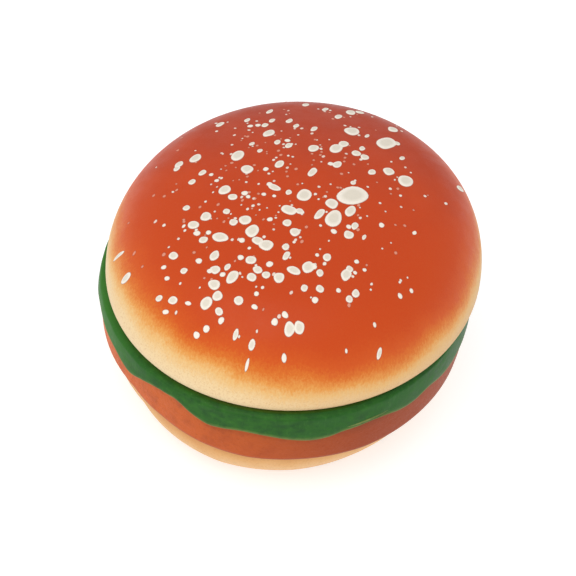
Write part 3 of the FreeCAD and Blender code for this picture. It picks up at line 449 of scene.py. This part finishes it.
def between(table, angle):
    """A value read from a table of angle, value pairs, in straight lines."""
    for (a0, v0), (a1, v1) in zip(table, table[1:]):
        if a0 <= angle <= a1:
            return v0 + (v1 - v0) * (angle - a0) / (a1 - a0)
    return table[-1][1]


def drawn_in(x, y, start, table):
    """A point of a lower layer, moved in or out beyond the reach start; x, y from the oval's middle."""
    reach = math.hypot(x / PLAN_RATIO, y)
    if reach <= start:
        return x, y
    inward = between(table, math.degrees(math.atan2(y, x / PLAN_RATIO)))
    span = BUN_REACH - start
    scale = (start + (reach - start) * (span - inward) / span) / reach
    return x * scale, y * scale


def reshaped(node, name, start, table, seat_z=0):
    """A copy of a CAD node, drawn in beyond the reach start, in its place; its seat follows the bottom bun."""
    mesh = frame["nodes"][node].data.copy()
    for vertex in mesh.vertices:
        x, y, z = vertex.co.x / MM, vertex.co.y / MM - CENTRE_Y, vertex.co.z / MM
        if z < seat_z and math.hypot(x / PLAN_RATIO, y) < LAYER_START:
            x, y = drawn_in(x, y, BOTTOM_START, BOTTOM_IN)
        else:
            x, y = drawn_in(x, y, start, table)
        vertex.co.x, vertex.co.y = x * MM, (y + CENTRE_Y) * MM
    mesh.update()
    piece = bpy.data.objects.new(name, mesh)
    bpy.context.collection.objects.link(piece)
    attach(piece, "base")
    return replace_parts(piece, node)


# Paint spots: x, y of the middle, half width, half length, roughly from the rear to the front. They were read
# by eye off the photo after a scratch script had laid its view of the bun flat as a plan.
SPOTS = [
    (0, 33, 2.2, 2.8), (11.5, 35, 2.6, 4.5), (14, 38, 1, 1), (9, 46, 1.5, 2), (-6.5, 46, 1.5, 2),
    (-4.5, 49, 1.3, 1.3), (-8, 39.5, 1, 1.8), (-14, 42, 0.8, 1.5), (37.5, 38, 1, 2), (1.5, 23.5, 1.4, 2),
    (0.8, 19.5, 1.8, 2.8), (7, 21.5, 1.3, 1.6), (10, 21.5, 1.2, 1.5), (19, 20.5, 1.6, 2),
    (25, 20.5, 2.2, 3), (15.2, 16, 1, 1.5), (5, 11.8, 1.2, 1.8), (3.2, 10.8, 0.8, 0.8), (-5, 15, 1.4, 2.2),
    (-21.3, 15.7, 1.5, 2.4), (-12.3, 12, 1, 1.4), (-16.3, 12, 0.9, 1.3), (-14, 14.5, 0.8, 0.8),
    (-19.5, 26.5, 0.9, 1.6), (-16, 24.5, 0.8, 1.3), (-10.3, 26, 0.9, 1.6), (-25, 20, 0.9, 1.4),
    (-27, 19, 0.8, 0.8), (-29, 17.5, 0.8, 0.8), (-32, 21, 0.8, 1.3), (-39, 15.5, 1, 1.7),
    (7.2, 25.5, 0.8, 1.3), (-24.5, 24, 0.8, 1.4), (-28.5, 30, 0.8, 1.8), (-23, 7.5, 0.7, 1),
    (-18.8, 5, 0.7, 1), (0.5, 3.5, 1.1, 2.3), (-10, 1.5, 1.3, 1.8), (13, 7, 0.7, 1), (19, 31, 0.7, 1.2),
    (5, 34, 0.6, 1.2), (-21, 41.5, 1, 1.5), (12, -5.8, 1.9, 1.9), (18, -5, 1.4, 2.4), (3.4, -7.5, 2.1, 2.6),
    (15.3, -11, 2.4, 3.4), (11, -12, 1.1, 2.4), (21.8, -9.5, 0.9, 1.5), (20.5, -11, 0.7, 0.7),
    (21.9, -13.8, 1.3, 1.6), (17.7, -15.5, 0.8, 0.8), (-23.8, -0.3, 1.9, 2.7), (-35.8, -5.8, 1.6, 2.2),
    (-17.6, -5.5, 1.9, 1.9), (-39.3, -10, 1.1, 1.6), (-38.8, -12.2, 0.9, 1.2), (-29.7, -12, 1, 1.3),
    (-26.6, -12, 0.6, 0.6), (-23.5, -14, 0.6, 0.6), (-30.5, -17, 1, 1.2), (-12.5, -2.8, 0.7, 0.9),
    (-6, -9.3, 2, 1.2), (-8, -8.7, 0.8, 0.8), (-1.2, -9, 0.8, 1.1), (-7.3, -13.6, 0.6, 0.6),
    (-4.2, -12.7, 0.5, 0.5), (2.5, -15.7, 2.5, 1.7), (5.5, -14.4, 1.3, 1), (-19, -17, 1.7, 2),
    (-15.2, -18.8, 1.4, 1.2), (-12.7, -15.8, 0.9, 0.9), (-11, -16.7, 0.6, 0.6), (4.5, -20.6, 1.2, 1.3),
    (8.2, -22.5, 1.4, 1.5), (-0.6, -22, 0.7, 0.8), (-13.8, -25, 1, 1), (-7, -25.7, 1.7, 1.8),
    (-9.7, -28, 1.2, 1.2), (-3, -28.5, 1.9, 2.3), (0.2, -31, 1.5, 1.4), (3.2, -31.2, 2.1, 1.8),
    (-26, -28, 1, 1), (-18.5, -29.2, 1.6, 1.6), (8.5, -28.8, 1, 1.1), (10.2, -31.5, 0.9, 1.5),
    (-20.3, -33.5, 1.6, 1.5), (-17.6, -36, 0.9, 0.9), (-14.5, -37.5, 1.2, 1.2), (-10.4, -34.7, 2.3, 1.7),
    (-14.5, -34.5, 0.7, 0.7), (-4, -33, 0.8, 0.8), (17.5, -31.5, 1.6, 2), (18.7, -30.3, 0.9, 0.9),
    (14.5, -34.8, 1.9, 1.3), (21.3, -31.2, 1, 1.1), (20.5, -25.2, 1.1, 1.3), (17.7, -26.2, 0.5, 0.5),
    (27.9, -27, 1.4, 2), (27.8, -24.7, 1, 1), (29.7, -24.7, 0.5, 0.5), (33, -30.6, 1, 1.2),
    (32.3, -33.3, 0.9, 1), (28.5, -33, 0.6, 0.6), (23.8, -35.8, 1.1, 1.1), (24.3, -39.7, 0.8, 0.9),
    (19.9, -38.2, 0.9, 1.1), (12, -39.2, 1.4, 1.7), (1.9, -38, 1.4, 1.4), (5.3, -40, 1.4, 1.1),
    (8.3, -40.3, 1.1, 1.1), (5, -43, 1.3, 1.3), (7.4, -36.6, 0.9, 0.9), (-1.2, -38.6, 0.8, 0.8),
    (-8.5, -41.3, 1.2, 1.8), (-3, -43.2, 0.8, 1.1), (0, -45.5, 1.5, 2.2), (-3, -46, 0.7, 0.7),
    (-5.8, -45.5, 1.4, 1.3), (-7, -46.5, 0.7, 0.7), (-20, -45.5, 1.4, 1.1), (-11.8, -44.7, 0.9, 0.8),
    (-14.3, -49, 1, 0.8), (-21, -49.3, 0.7, 0.5), (-3.6, -49.8, 1.7, 1.4), (-1, -52.3, 1.3, 1.3),
    (-3.1, -55, 1.5, 1.6), (1.5, -55.6, 1.2, 0.8), (5.3, -51, 1.2, 1.2), (10.3, -50.5, 0.8, 0.6),
    (24, -48.4, 1.3, 1.5), (21.8, -50.2, 1.4, 1.6), (19, -48, 0.9, 0.7), (17.3, -51, 0.8, 0.8),
    (14, -58, 0.8, 1), (8.7, -58.2, 0.7, 1), (3.2, -57.2, 0.7, 0.7), (-13.3, -56.7, 1.4, 0.8),
    (-18, -56.7, 1, 0.6), (-8.3, -56.5, 0.9, 0.4), (-14.2, -59.2, 0.9, 0.4), (-18.2, -52, 0.7, 0.5),
    (0, -60, 0.9, 0.6), (-2.2, -61.7, 0.9, 0.5), (14.5, -61.2, 0.4, 0.8), (23.4, -55.6, 0.6, 0.6),
    (-40, -44, 1.8, 0.5), (-33, -51, 1.4, 0.9), (45, -36.5, 0.5, 1), (43.4, -21.4, 0.6, 0.6),
    (45.2, -17.2, 0.5, 0.5), (28, -3.5, 0.7, 0.9), (37, 1.5, 0.5, 0.8), (26, -11.5, 0.5, 1),
    (28.3, -21, 0.6, 0.6), (31.5, -22, 0.5, 0.5), (8.9, -47, 0.6, 0.6),
]
LEANING_SPOT = (15.5, 1.5, 3.6, 5.4, -35)      # the biggest: also its lean in degrees
SPRAY_TURN, SPRAY_MOVE = -8.1, (0.7, 0.3)      # the whole spray's turn on the bun and its shift

SPOT_SUNK, SPOT_RIM = 0.05, 0.22               # how deep a spot's edge is set in, and its outline's width
SPOT_WAVES, WAVE_DEPTH = (2, 3, 4), (0.02, 0.16)       # the waves round an outline, and their depths
CORE_SHARE, CORE_SIZE = 0.7, 0.9               # the greyer middle, and the smallest spot that has one
BIG_SPOT_HEIGHT, SPOT_HEIGHT = 0.3, 0.28       # the biggest spot's height, and the greatest of the others
THIN_NEAR, THIN_SHARE = 14, 0.4                # nearer than this to the bun's top the spots are thinner

SPECK_COUNT = 340
SPECK_MIDDLE, SPECK_SPREAD = (-4, -8), (21, 30)        # where the specks fall, along X and Y
SPECK_LIMIT, SPECK_CLEAR = 61, 3               # none beyond this reach, and none on the very top
SPECK_SIZE, SPECK_HEIGHT = (0.14, 0.42), 0.06          # from the smallest to the biggest radius
SPECK_LONG = 0.9, 1.5                          # their length for their width
PINK_SHARE, PINK = 0.45, 0.85                  # how many specks are thin, and how pink those look


def sprayed(x, y):
    """Where the spray's own x, y lie on the bun, as turned within the oval."""
    turn = math.radians(SPRAY_TURN)
    u = x / PLAN_RATIO
    across = (u * math.cos(turn) - y * math.sin(turn)) * PLAN_RATIO + SPRAY_MOVE[0]
    along = u * math.sin(turn) + y * math.cos(turn) + SPRAY_MOVE[1]
    return across, along


def add_spot(points, faces, shades, spot, height, dice, pinkness=0.0):
    """One domed drop with an uneven outline, set slightly into the crust."""
    x, y, half_wide, half_long, lean = spot
    size = max(half_wide, half_long)
    count = 20 if size > 1.2 else 12 if size > 0.5 else 8
    waves = [(k, dice.uniform(0, 2 * math.pi), dice.uniform(*WAVE_DEPTH) / k) for k in SPOT_WAVES]
    outline = 1 + SPOT_RIM / size
    rings = ((outline, -SPOT_SUNK), (outline - 0.02, 0.02), (0.96, 0.6 * height), (0.84, 0.96 * height),
             (0.5, height), (0.25, 0.97 * height))
    lean = math.radians(lean)
    first = len(points)
    for share, lift in rings:
        for i in range(count):
            angle = 2 * math.pi * i / count
            swell = 1 + sum(depth * math.sin(k * angle + phase) for k, phase, depth in waves)
            u, v = half_wide * share * swell * math.cos(angle), half_long * share * swell * math.sin(angle)
            dx, dy = u * math.cos(lean) - v * math.sin(lean), u * math.sin(lean) + v * math.cos(lean)
            points.append(on_crust(*sprayed(x + dx, y + dy), lift))
            shades["core"].append(1.0 if share < CORE_SHARE and size > CORE_SIZE else 0.0)
            shades["faint"].append(pinkness)
            # The outline ring carries the painted contact shadow.
            shades["rim"].append(1.0 if share > 1 else 0.0)
    faces += [tuple(first + k for k in face) for face in tube_faces(len(rings), count)]
    faces.append(tuple(range(first + (len(rings) - 1) * count, first + len(rings) * count)))


def seed_spots():
    """The sprayed paint that stands for the seeds: the listed spots, then fine specks at random."""
    dice = random.Random(11)
    points, faces, shades = [], [], {"core": [], "faint": [], "rim": []}
    add_spot(points, faces, shades, LEANING_SPOT, BIG_SPOT_HEIGHT, dice)
    for x, y, half_wide, half_long in SPOTS:
        thin = THIN_SHARE if math.hypot(x, y) < THIN_NEAR else 1
        height = min(SPOT_HEIGHT, 0.12 + 0.08 * min(half_wide, half_long)) * thin
        add_spot(points, faces, shades, (x, y, half_wide, half_long, 0), height, dice)
    for _ in range(SPECK_COUNT):
        x, y = (dice.gauss(middle, spread) for middle, spread in zip(SPECK_MIDDLE, SPECK_SPREAD))
        if math.hypot(x / PLAN_RATIO, y) > SPECK_LIMIT or math.hypot(x, y) < SPECK_CLEAR:
            continue
        size = dice.uniform(*SPECK_SIZE)
        pinkness = PINK if dice.random() < PINK_SHARE else dice.uniform(0, 0.35)
        speck = (x, y, size, size * dice.uniform(*SPECK_LONG), 0)
        add_spot(points, faces, shades, speck, SPECK_HEIGHT, dice, pinkness)
    mesh = mesh_from("seed_spots", points, faces, **shades)
    return add_piece("seed_spots", mesh, seed_look, "lid")


# The leaf's lower edge: angle round the oval, height. From -146 to 0 a scratch script worked the pairs out from
# points read off the photo's edge; they were rounded, and some were then lowered by eye. The rest is a guess.
LEAF_EDGE = [
    (-180, 32.6), (-168, 32.2), (-156, 33.5), (-146, 34.3), (-137, 32.4), (-130, 31.9), (-122, 30.3),
    (-116, 32.3), (-110, 34.0), (-103, 34.3), (-97, 31.8), (-92, 30.2), (-88, 30.4), (-82, 31.2),
    (-75, 30.6), (-68, 29.5), (-62, 28.8), (-57, 29.3), (-53, 30.4), (-48, 30.9), (-43, 31.1), (-39, 30.8),
    (-34, 29.7), (-28, 29.3), (-22, 30.0), (-16, 28.8), (-9, 27.7), (0, 27.4), (9, 28.6), (20, 31.2),
    (32, 33.4), (45, 31.6), (58, 32.8), (72, 31.3), (84, 32.6), (96, 31.2), (110, 33.0), (124, 31.5),
    (138, 33.1), (152, 31.3), (166, 33.2),
]
LEAF_REACH, LEAF_TOP, EDGE_TOP = 67.55, 38.12, 34.3     # half its length, its top, its highest lower edge
# The oval's half width, by angle: the leaf flares out on the left.
LEAF_HALF_WIDE = [
    (-180, 61.4), (-150, 61.3), (-125, 60.3), (-105, 60.0), (-90, 59.9), (-50, 59.3), (-25, 58.0),
    (-5, 57.2), (30, 57.2), (60, 58.6), (90, 59.9), (150, 61), (180, 61.4),
]
COLLAR_REACH, COLLAR_GAP = 65.9, 0.07      # the ring behind the leaf, and the room between them
COLLAR_STEP, COLLAR_TOP = 35.6, 38.02      # heights on the leaf's inner side, where it passes the ring
PATTY_REACH, PATTY_GAP = 66.15, 0.15       # the same for the patty
LIP_Z = 35.2                               # just over the patty's lip
UNDER_BUN = [(62.6, -0.02, 0.0), (63.6, 0.0, 1.0), (64.4, 0.0, 0.6)]       # reach, height over the top, seam
SHOULDER = [(2.3, 0.08), (1.5, 0.25), (0.9, 0.6)]      # inset from the leaf's reach, depth under the top
HINGE_SHOULDER = [(1.0, 0.0), (0.5, 0.25)]
FACE_START, FACE_END = 0.4, 0.75           # the face: from under the shoulder to over the lower edge
FACE_SLOPE, FACE_POWER = 0.62, 2.5         # how far its top leans in, and how fast that fades downwards
FACE_HOLLOW = 0.12                         # how hollow it is half way down
LOBE_Z, TUCK = 30, 0.28                    # an edge at LOBE_Z hangs this much further out than one at EDGE_TOP
WANDER, WANDER_SPAN = 0.16, 9              # slow waves in and out
RIPPLE, RIPPLE_WIDE, RIPPLE_HIGH = 0.13, 5, 3.2        # small ones
LOWER_EDGE = [(-0.06, 0.45, 0.9), (0.1, 0.14, 1), (0.45, 0, 1)]    # inset, height over the edge, edge colour
INNER_EDGE = [(PATTY_GAP + 0.1, 0.14), (PATTY_GAP, 0.6)]           # gap to the patty, height over the edge
NOTCH_HALF, NOTCH_TOP, NOTCH_Y = 18.0, 35.1, 55        # the hinge's room at the rear
LEAF_STEPS, LEAF_ROWS = 900, 22

# Where one lobe laps over the next, a thin lip runs up along the edge, over a shadowed dent; the lip is painted
# pale as a highlight.
FOLD_START, FOLD_TURN = -53, 15            # its first angle, and how far round it runs
FOLD_Z, FOLD_RISE = 31.9, 0.8
FOLD_THICK, FOLD_SUNK = 0.46, 0.25         # its thickness, and how deep its middle is set in
FOLD_OUT, FOLD_UP = 0.75, 0.8              # the shares of the thickness that it has outwards and upwards
FOLD_HIGHLIGHT = 1.3                           # its share of the pale edge colour
DENT_ANGLE, DENT_WIDE = -41, 4
DENT, DENT_Z, DENT_HIGH = 0.5, 0.4, 0.5    # its depth, its height over the lower edge, and its spread there


def leaf_edge(angle):
    """Height of the lower edge at an angle, a smooth curve through LEAF_EDGE."""
    count = len(LEAF_EDGE)
    angle = (angle + 180) % 360 - 180
    i = max(k for k in range(count) if LEAF_EDGE[k][0] <= angle)

    def knot(k):
        turns, k = divmod(k, count)
        return LEAF_EDGE[k][0] + 360 * turns, LEAF_EDGE[k][1]

    (a0, z0), (a1, z1), (a2, z2), (a3, z3) = (knot(i + k) for k in (-1, 0, 1, 2))
    t = (angle - a1) / (a2 - a1)
    m1, m2 = (z2 - z0) / (a2 - a0) * (a2 - a1), (z3 - z1) / (a3 - a1) * (a2 - a1)
    return ((2 * t ** 3 - 3 * t ** 2 + 1) * z1 + (t ** 3 - 2 * t ** 2 + t) * m1
            + (3 * t ** 2 - 2 * t ** 3) * z2 + (t ** 3 - t ** 2) * m2)


def leaf_section(angle):
    """The leaf's section at an angle, from under the bun, down its face and up the inside.

    Each point is x, y, z and the shares of edge and seam colour.
    """
    radians = math.radians(angle)
    side, front = math.cos(radians), math.sin(radians)
    half_wide = between(LEAF_HALF_WIDE, angle)
    at_hinge = abs(half_wide * side) < NOTCH_HALF and LEAF_REACH * front > NOTCH_Y
    top = NOTCH_TOP if at_hinge else LEAF_TOP
    low = min(leaf_edge(angle), EDGE_TOP)
    spot = Vector((half_wide * side, LEAF_REACH * front, 0))
    tuck = TUCK * (low - LOBE_Z) / (EDGE_TOP - LOBE_Z) + WANDER * noise.noise(spot / WANDER_SPAN)
    dented = DENT * math.exp(-((angle - DENT_ANGLE) / DENT_WIDE) ** 2)

    def point(inset, z, edge=0.0):
        """A point inset mm inside the leaf's greatest reach."""
        reach = 1 - max(inset, 0) / LEAF_REACH
        return half_wide * side * reach, CENTRE_Y + LEAF_REACH * front * reach, z, edge, 0.0

    def kept_out(reach, z, seam=0.0):
        """A point on the inner side, clear of the layer behind it."""
        x, y = drawn_in(reach * PLAN_RATIO * side, reach * front, LAYER_START, PATTY_IN)
        return x, CENTRE_Y + y, z, 0.0, seam

    if at_hinge:
        section = [kept_out(COLLAR_REACH + COLLAR_GAP, top)]
        section += [point(inset, top - depth) for inset, depth in HINGE_SHOULDER]
    else:
        section = [kept_out(reach, top + rise, seam) for reach, rise, seam in UNDER_BUN]
        section += [point(inset, top - depth) for inset, depth in SHOULDER]
    first, last = section[-1][2] - FACE_START, low + FACE_END
    for row in range(LEAF_ROWS):
        t = row / (LEAF_ROWS - 1)
        z = first + (last - first) * t
        ripple = RIPPLE * noise.noise(Vector((spot.x / RIPPLE_WIDE, spot.y / RIPPLE_WIDE, z / RIPPLE_HIGH)))
        dent = dented * math.exp(-((z - low - DENT_Z) / DENT_HIGH) ** 2)
        hollow = FACE_HOLLOW * math.sin(math.pi * t)
        slope = FACE_SLOPE * (1 - t) ** FACE_POWER
        section.append(point(slope + hollow + tuck - ripple + dent, z, max(0, t - 0.9) * 5))
    section += [point(tuck + inset, low + rise, edge) for inset, rise, edge in LOWER_EDGE]
    section += [kept_out(PATTY_REACH + gap, low + rise) for gap, rise in INNER_EDGE]
    section += [kept_out(PATTY_REACH + PATTY_GAP, min(LIP_Z, top))]
    inner_heights = (top - 0.02,) if at_hinge else (COLLAR_STEP, COLLAR_TOP)
    section += [kept_out(COLLAR_REACH + COLLAR_GAP, z) for z in inner_heights]
    return section


def leaf():
    """The lettuce's hanging edge, in place of the plain CAD skirt; each section is a closed loop."""
    points, faces, edge, seam = [], [], [], []
    starts, lengths = [], []
    for step in range(LEAF_STEPS):
        section = leaf_section(-180 + 360 * step / LEAF_STEPS)
        starts.append(len(points))
        lengths.append(len(section))
        for x, y, z, edge_share, seam_share in section:
            points.append((x, y, z))
            edge.append(edge_share)
            seam.append(seam_share)
    for step in range(LEAF_STEPS):
        after = (step + 1) % LEAF_STEPS
        if lengths[step] != lengths[after]:
            faces.append(tuple(range(starts[step], starts[step] + lengths[step])))
            faces.append(tuple(reversed(range(starts[after], starts[after] + lengths[after]))))
            continue
        rows = lengths[step]
        for row in range(rows):
            below = (row + 1) % rows
            faces.append((starts[step] + row, starts[step] + below, starts[after] + below, starts[after] + row))
    mesh = mesh_from("lettuce_leaf", points, faces, edge=edge, seam=seam)
    piece = add_piece("lettuce_leaf", mesh, LOOKS["lettuce_green"], "base")
    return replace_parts(piece, "lettuce_skirt")


def leaf_fold():
    """The thin turned-up lip where one lobe of the leaf laps over the next, painted pale as a highlight."""
    steps, sides = 48, 8
    points = []
    for step in range(steps + 1):
        t = step / steps
        turned = FOLD_START + FOLD_TURN * t
        angle, half_wide = math.radians(turned), between(LEAF_HALF_WIDE, turned)
        z = FOLD_Z + FOLD_RISE * t
        thick = FOLD_THICK * math.sin(math.pi * min(max(t, 0.02), 0.98)) ** 0.6
        for side in range(sides):
            turn = 2 * math.pi * side / sides
            out = FOLD_OUT * thick * math.cos(turn) - FOLD_SUNK
            x, y = (half_wide + out) * math.cos(angle), CENTRE_Y + (LEAF_REACH + out) * math.sin(angle)
            points.append((x, y, z + FOLD_UP * thick * math.sin(turn)))
    faces = tube_faces(steps + 1, sides)
    faces.append(tuple(reversed(range(sides))))
    faces.append(tuple(range(steps * sides, (steps + 1) * sides)))
    mesh = mesh_from("lettuce_fold", points, faces, edge=[FOLD_HIGHLIGHT] * len(points))
    return add_piece("lettuce_fold", mesh, LOOKS["lettuce_green"], "base")


PRINT_SUNK, PRINT_HIGH = 0.03, 0.09         # a print's depth in the key, and its whole thickness
DIGIT_SIZE, DIGIT_HALF, DIGIT_LIFT = 6.4, 0.06, 0.02


def printed(key, shapes):
    """A raised print on a key's top from closed outlines in mm about its middle."""
    low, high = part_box(key)
    cx, cy, top = (low.x + high.x) / 2 / MM, (low.y + high.y) / 2 / MM, high.z / MM
    form = bmesh.new()
    for outline in shapes:
        places = [((cx + x) * MM, (cy + y) * MM, (top - PRINT_SUNK) * MM) for x, y in outline]
        face = form.faces.new([form.verts.new(place) for place in places])
        raised = bmesh.ops.extrude_face_region(form, geom=[face])["geom"]
        corners = [item for item in raised if isinstance(item, bmesh.types.BMVert)]
        bmesh.ops.translate(form, vec=(0, 0, PRINT_HIGH * MM), verts=corners)
    bmesh.ops.recalc_face_normals(form, faces=form.faces)
    mesh = bpy.data.meshes.new(key + "_print")
    form.to_mesh(mesh)
    form.free()
    return add_piece(key + "_print", mesh, print_look, key + "_button")


def digit(key, text):
    """A digit or sign from Blender's own font, raised on a key."""
    low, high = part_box(key)
    curve = bpy.data.curves.new(key + "_text", "FONT")
    curve.body = text
    curve.size = DIGIT_SIZE * MM
    curve.extrude = DIGIT_HALF * MM
    curve.align_x, curve.align_y = "CENTER", "CENTER"
    mesh = evaluated_mesh(curve)
    mesh.name = key + "_print"
    xs, ys = [v.co.x for v in mesh.vertices], [v.co.y for v in mesh.vertices]
    for vertex in mesh.vertices:
        vertex.co.x += (low.x + high.x) / 2 - (min(xs) + max(xs)) / 2
        vertex.co.y += (low.y + high.y) / 2 - (min(ys) + max(ys)) / 2
        vertex.co.z += high.z + DIGIT_LIFT * MM
    return add_piece(key + "_print", mesh, print_look, key + "_button")


def arc_band(radius, width, start, end, steps=28):
    """A flat ring's part between two angles, as quadrilateral outlines."""
    quads = []
    for i in range(steps):
        a, b = (math.radians(start + (end - start) * k / steps) for k in (i, i + 1))
        inner, outer = radius - width / 2, radius + width / 2
        corners = ((inner, a), (outer, a), (outer, b), (inner, b))
        quads.append([(r * math.cos(t), r * math.sin(t)) for r, t in corners])
    return quads


def key_prints():
    """Digits and signs on twelve keys, a turned arrow for redial and a crossed ring for mute."""
    for name in "1234567890":
        digit("key_" + name, name)
    digit("key_star", "*")
    digit("key_hash", "#")
    arrow = [(-0.3, 2.9), (-0.3, 0.7), (-2.1, 1.8)]
    printed("key_redial", arc_band(1.8, 0.55, -200, 90) + [arrow])
    slash = [(-1.75, 1.45), (-1.45, 1.75), (1.75, -1.45), (1.45, -1.75)]
    printed("key_mute", arc_band(2.1, 0.5, 0, 360) + [slash])


# The receiver's lead, from the board up through the deck and into the lid, on the points of its two CAD halves.
LEAD_ROUTE = [
    (16, 34.6, 28.9), (16, 34.6, 31.4), (15.2, 40, 31.6), (14, 48, 31.4), (14, 48, 34), (14, 48, 37),
    (14, 48, 40.2), (14, 48, 45), (13, 40, 51), (10, 25, 56), (7, 12, 58.5), (6, 5.5, 59), (6, 5.5, 55.2),
]
LEAD_RADIUS = 1.1


def receiver_lead():
    """The flexible lead, one piece in place of the CAD's two halves."""
    curve = bpy.data.curves.new("receiver_lead", "CURVE")
    curve.dimensions = "3D"
    curve.bevel_depth = LEAD_RADIUS * MM
    curve.bevel_resolution = 5
    curve.use_fill_caps = True
    spline = curve.splines.new("NURBS")
    spline.points.add(len(LEAD_ROUTE) - 1)
    for point, (x, y, z) in zip(spline.points, LEAD_ROUTE):
        point.co = (x * MM, y * MM, z * MM, 1)
    spline.order_u = 3
    spline.use_endpoint_u = True
    spline.resolution_u = 10
    mesh = evaluated_mesh(curve)
    for polygon in mesh.polygons:
        polygon.use_smooth = True
    piece = add_piece("receiver_lead", mesh, LOOKS["lead_sleeve"], None)
    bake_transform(piece)
    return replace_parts(piece, "receiver_lead_base", "receiver_lead_lid")


reshaped("bottom_bun_shell", "bottom_bun", BOTTOM_START, BOTTOM_IN)
reshaped("patty_ring", "patty", LAYER_START, PATTY_IN, SEAT_Z)
reshaped("lettuce_collar", "lettuce_ring", LAYER_START, PATTY_IN)
seed_spots()
leaf()
leaf_fold()
key_prints()
receiver_lead()


# ---------------------------------------------------------------- stage, light, camera

FLOOR_HALF = 3000
FLOOR_GLOW = 0.6                   # keeps the floor white beside the burger
LIGHT_AIM, LIGHT_SIZE = (0, 0, 30), 900


def floor():
    """A plain pale floor."""
    look = Look("floor", Specular_IOR_Level=0.1)
    tone = look.mix(look.span(look.noise(900, 2), 0.3, 0.7), (203, 207, 209), (199, 203, 205))
    look.shader.inputs["Emission Color"].default_value = (1, 1, 1, 1)
    look.shader.inputs["Emission Strength"].default_value = FLOOR_GLOW
    look.finish(tone, look.span(look.noise(40, 2), 0.3, 0.7, 0.84, 0.9))
    corners = [(x * FLOOR_HALF, y * FLOOR_HALF, 0) for x, y in ((-1, -1), (1, -1), (1, 1), (-1, 1))]
    mesh = mesh_from("floor", corners, [(0, 1, 2, 3)], smooth=False)
    mesh.materials.append(look.material)
    obj = bpy.data.objects.new("floor", mesh)
    bpy.context.collection.objects.link(obj)


def area_light(name, place, power):
    """A soft round lamp, aimed at the burger."""
    data = bpy.data.lights.new(name, "AREA")
    data.shape = "DISK"
    data.size = LIGHT_SIZE * MM
    data.energy = power
    light = bpy.data.objects.new(name, data)
    bpy.context.collection.objects.link(light)
    light.location = [value * MM for value in place]
    light.rotation_mode = "QUATERNION"
    light.rotation_quaternion = (Vector(LIGHT_AIM) - Vector(place)).to_track_quat("-Z", "Y")


def sky(colour, strength):
    """Even light from all round."""
    world = bpy.data.worlds.new("studio")
    bpy.context.scene.world = world
    world.use_nodes = True
    background = world.node_tree.nodes["Background"]
    background.inputs["Color"].default_value = colour
    background.inputs["Strength"].default_value = strength


# The view: how high, from which side and how tilted, in degrees; then the distance and what the view's middle
# is aimed at: a height on the oval's axis, and from there this far to the view's left and down.
CAMERA_UP, CAMERA_SIDE, CAMERA_TILT = 42.1, 16.8, 5.4
CAMERA_DISTANCE, AIM_Z, AIM_LEFT, AIM_DOWN = 528, 36.3, 1.952, 5.088
SENSOR, LENS = 36, 103.125


def camera():
    """The camera, at its angle and distance."""
    up, side, tilt = (math.radians(a) for a in (CAMERA_UP, CAMERA_SIDE, CAMERA_TILT))
    back = Vector((math.sin(side) * math.cos(up), -math.cos(side) * math.cos(up), math.sin(up)))
    level = Vector((math.cos(side), math.sin(side), 0))
    upright = back.cross(level)
    image_right = math.cos(tilt) * level + math.sin(tilt) * upright
    image_up = math.cos(tilt) * upright - math.sin(tilt) * level
    aim = Vector((0, CENTRE_Y, AIM_Z)) - image_right * AIM_LEFT - image_up * AIM_DOWN
    data = bpy.data.cameras.new("camera")
    data.sensor_width = SENSOR
    data.lens = LENS
    data.clip_start = 0.01
    data.clip_end = 20
    obj = bpy.data.objects.new("camera", data)
    bpy.context.collection.objects.link(obj)
    obj.rotation_mode = "QUATERNION"
    obj.rotation_quaternion = Matrix((image_right, image_up, back)).transposed().to_quaternion()
    obj.location = (aim + back * CAMERA_DISTANCE) * MM
    bpy.context.scene.camera = obj


floor()
sky((1, 1, 1, 1), 0.7)
area_light("key", (-50, -500, 1000), 4.2)
area_light("fill", (-900, -300, 600), 0.3)
camera()
bpy.context.scene.view_settings.view_transform = "Standard"

bpy.context.view_layer.update()
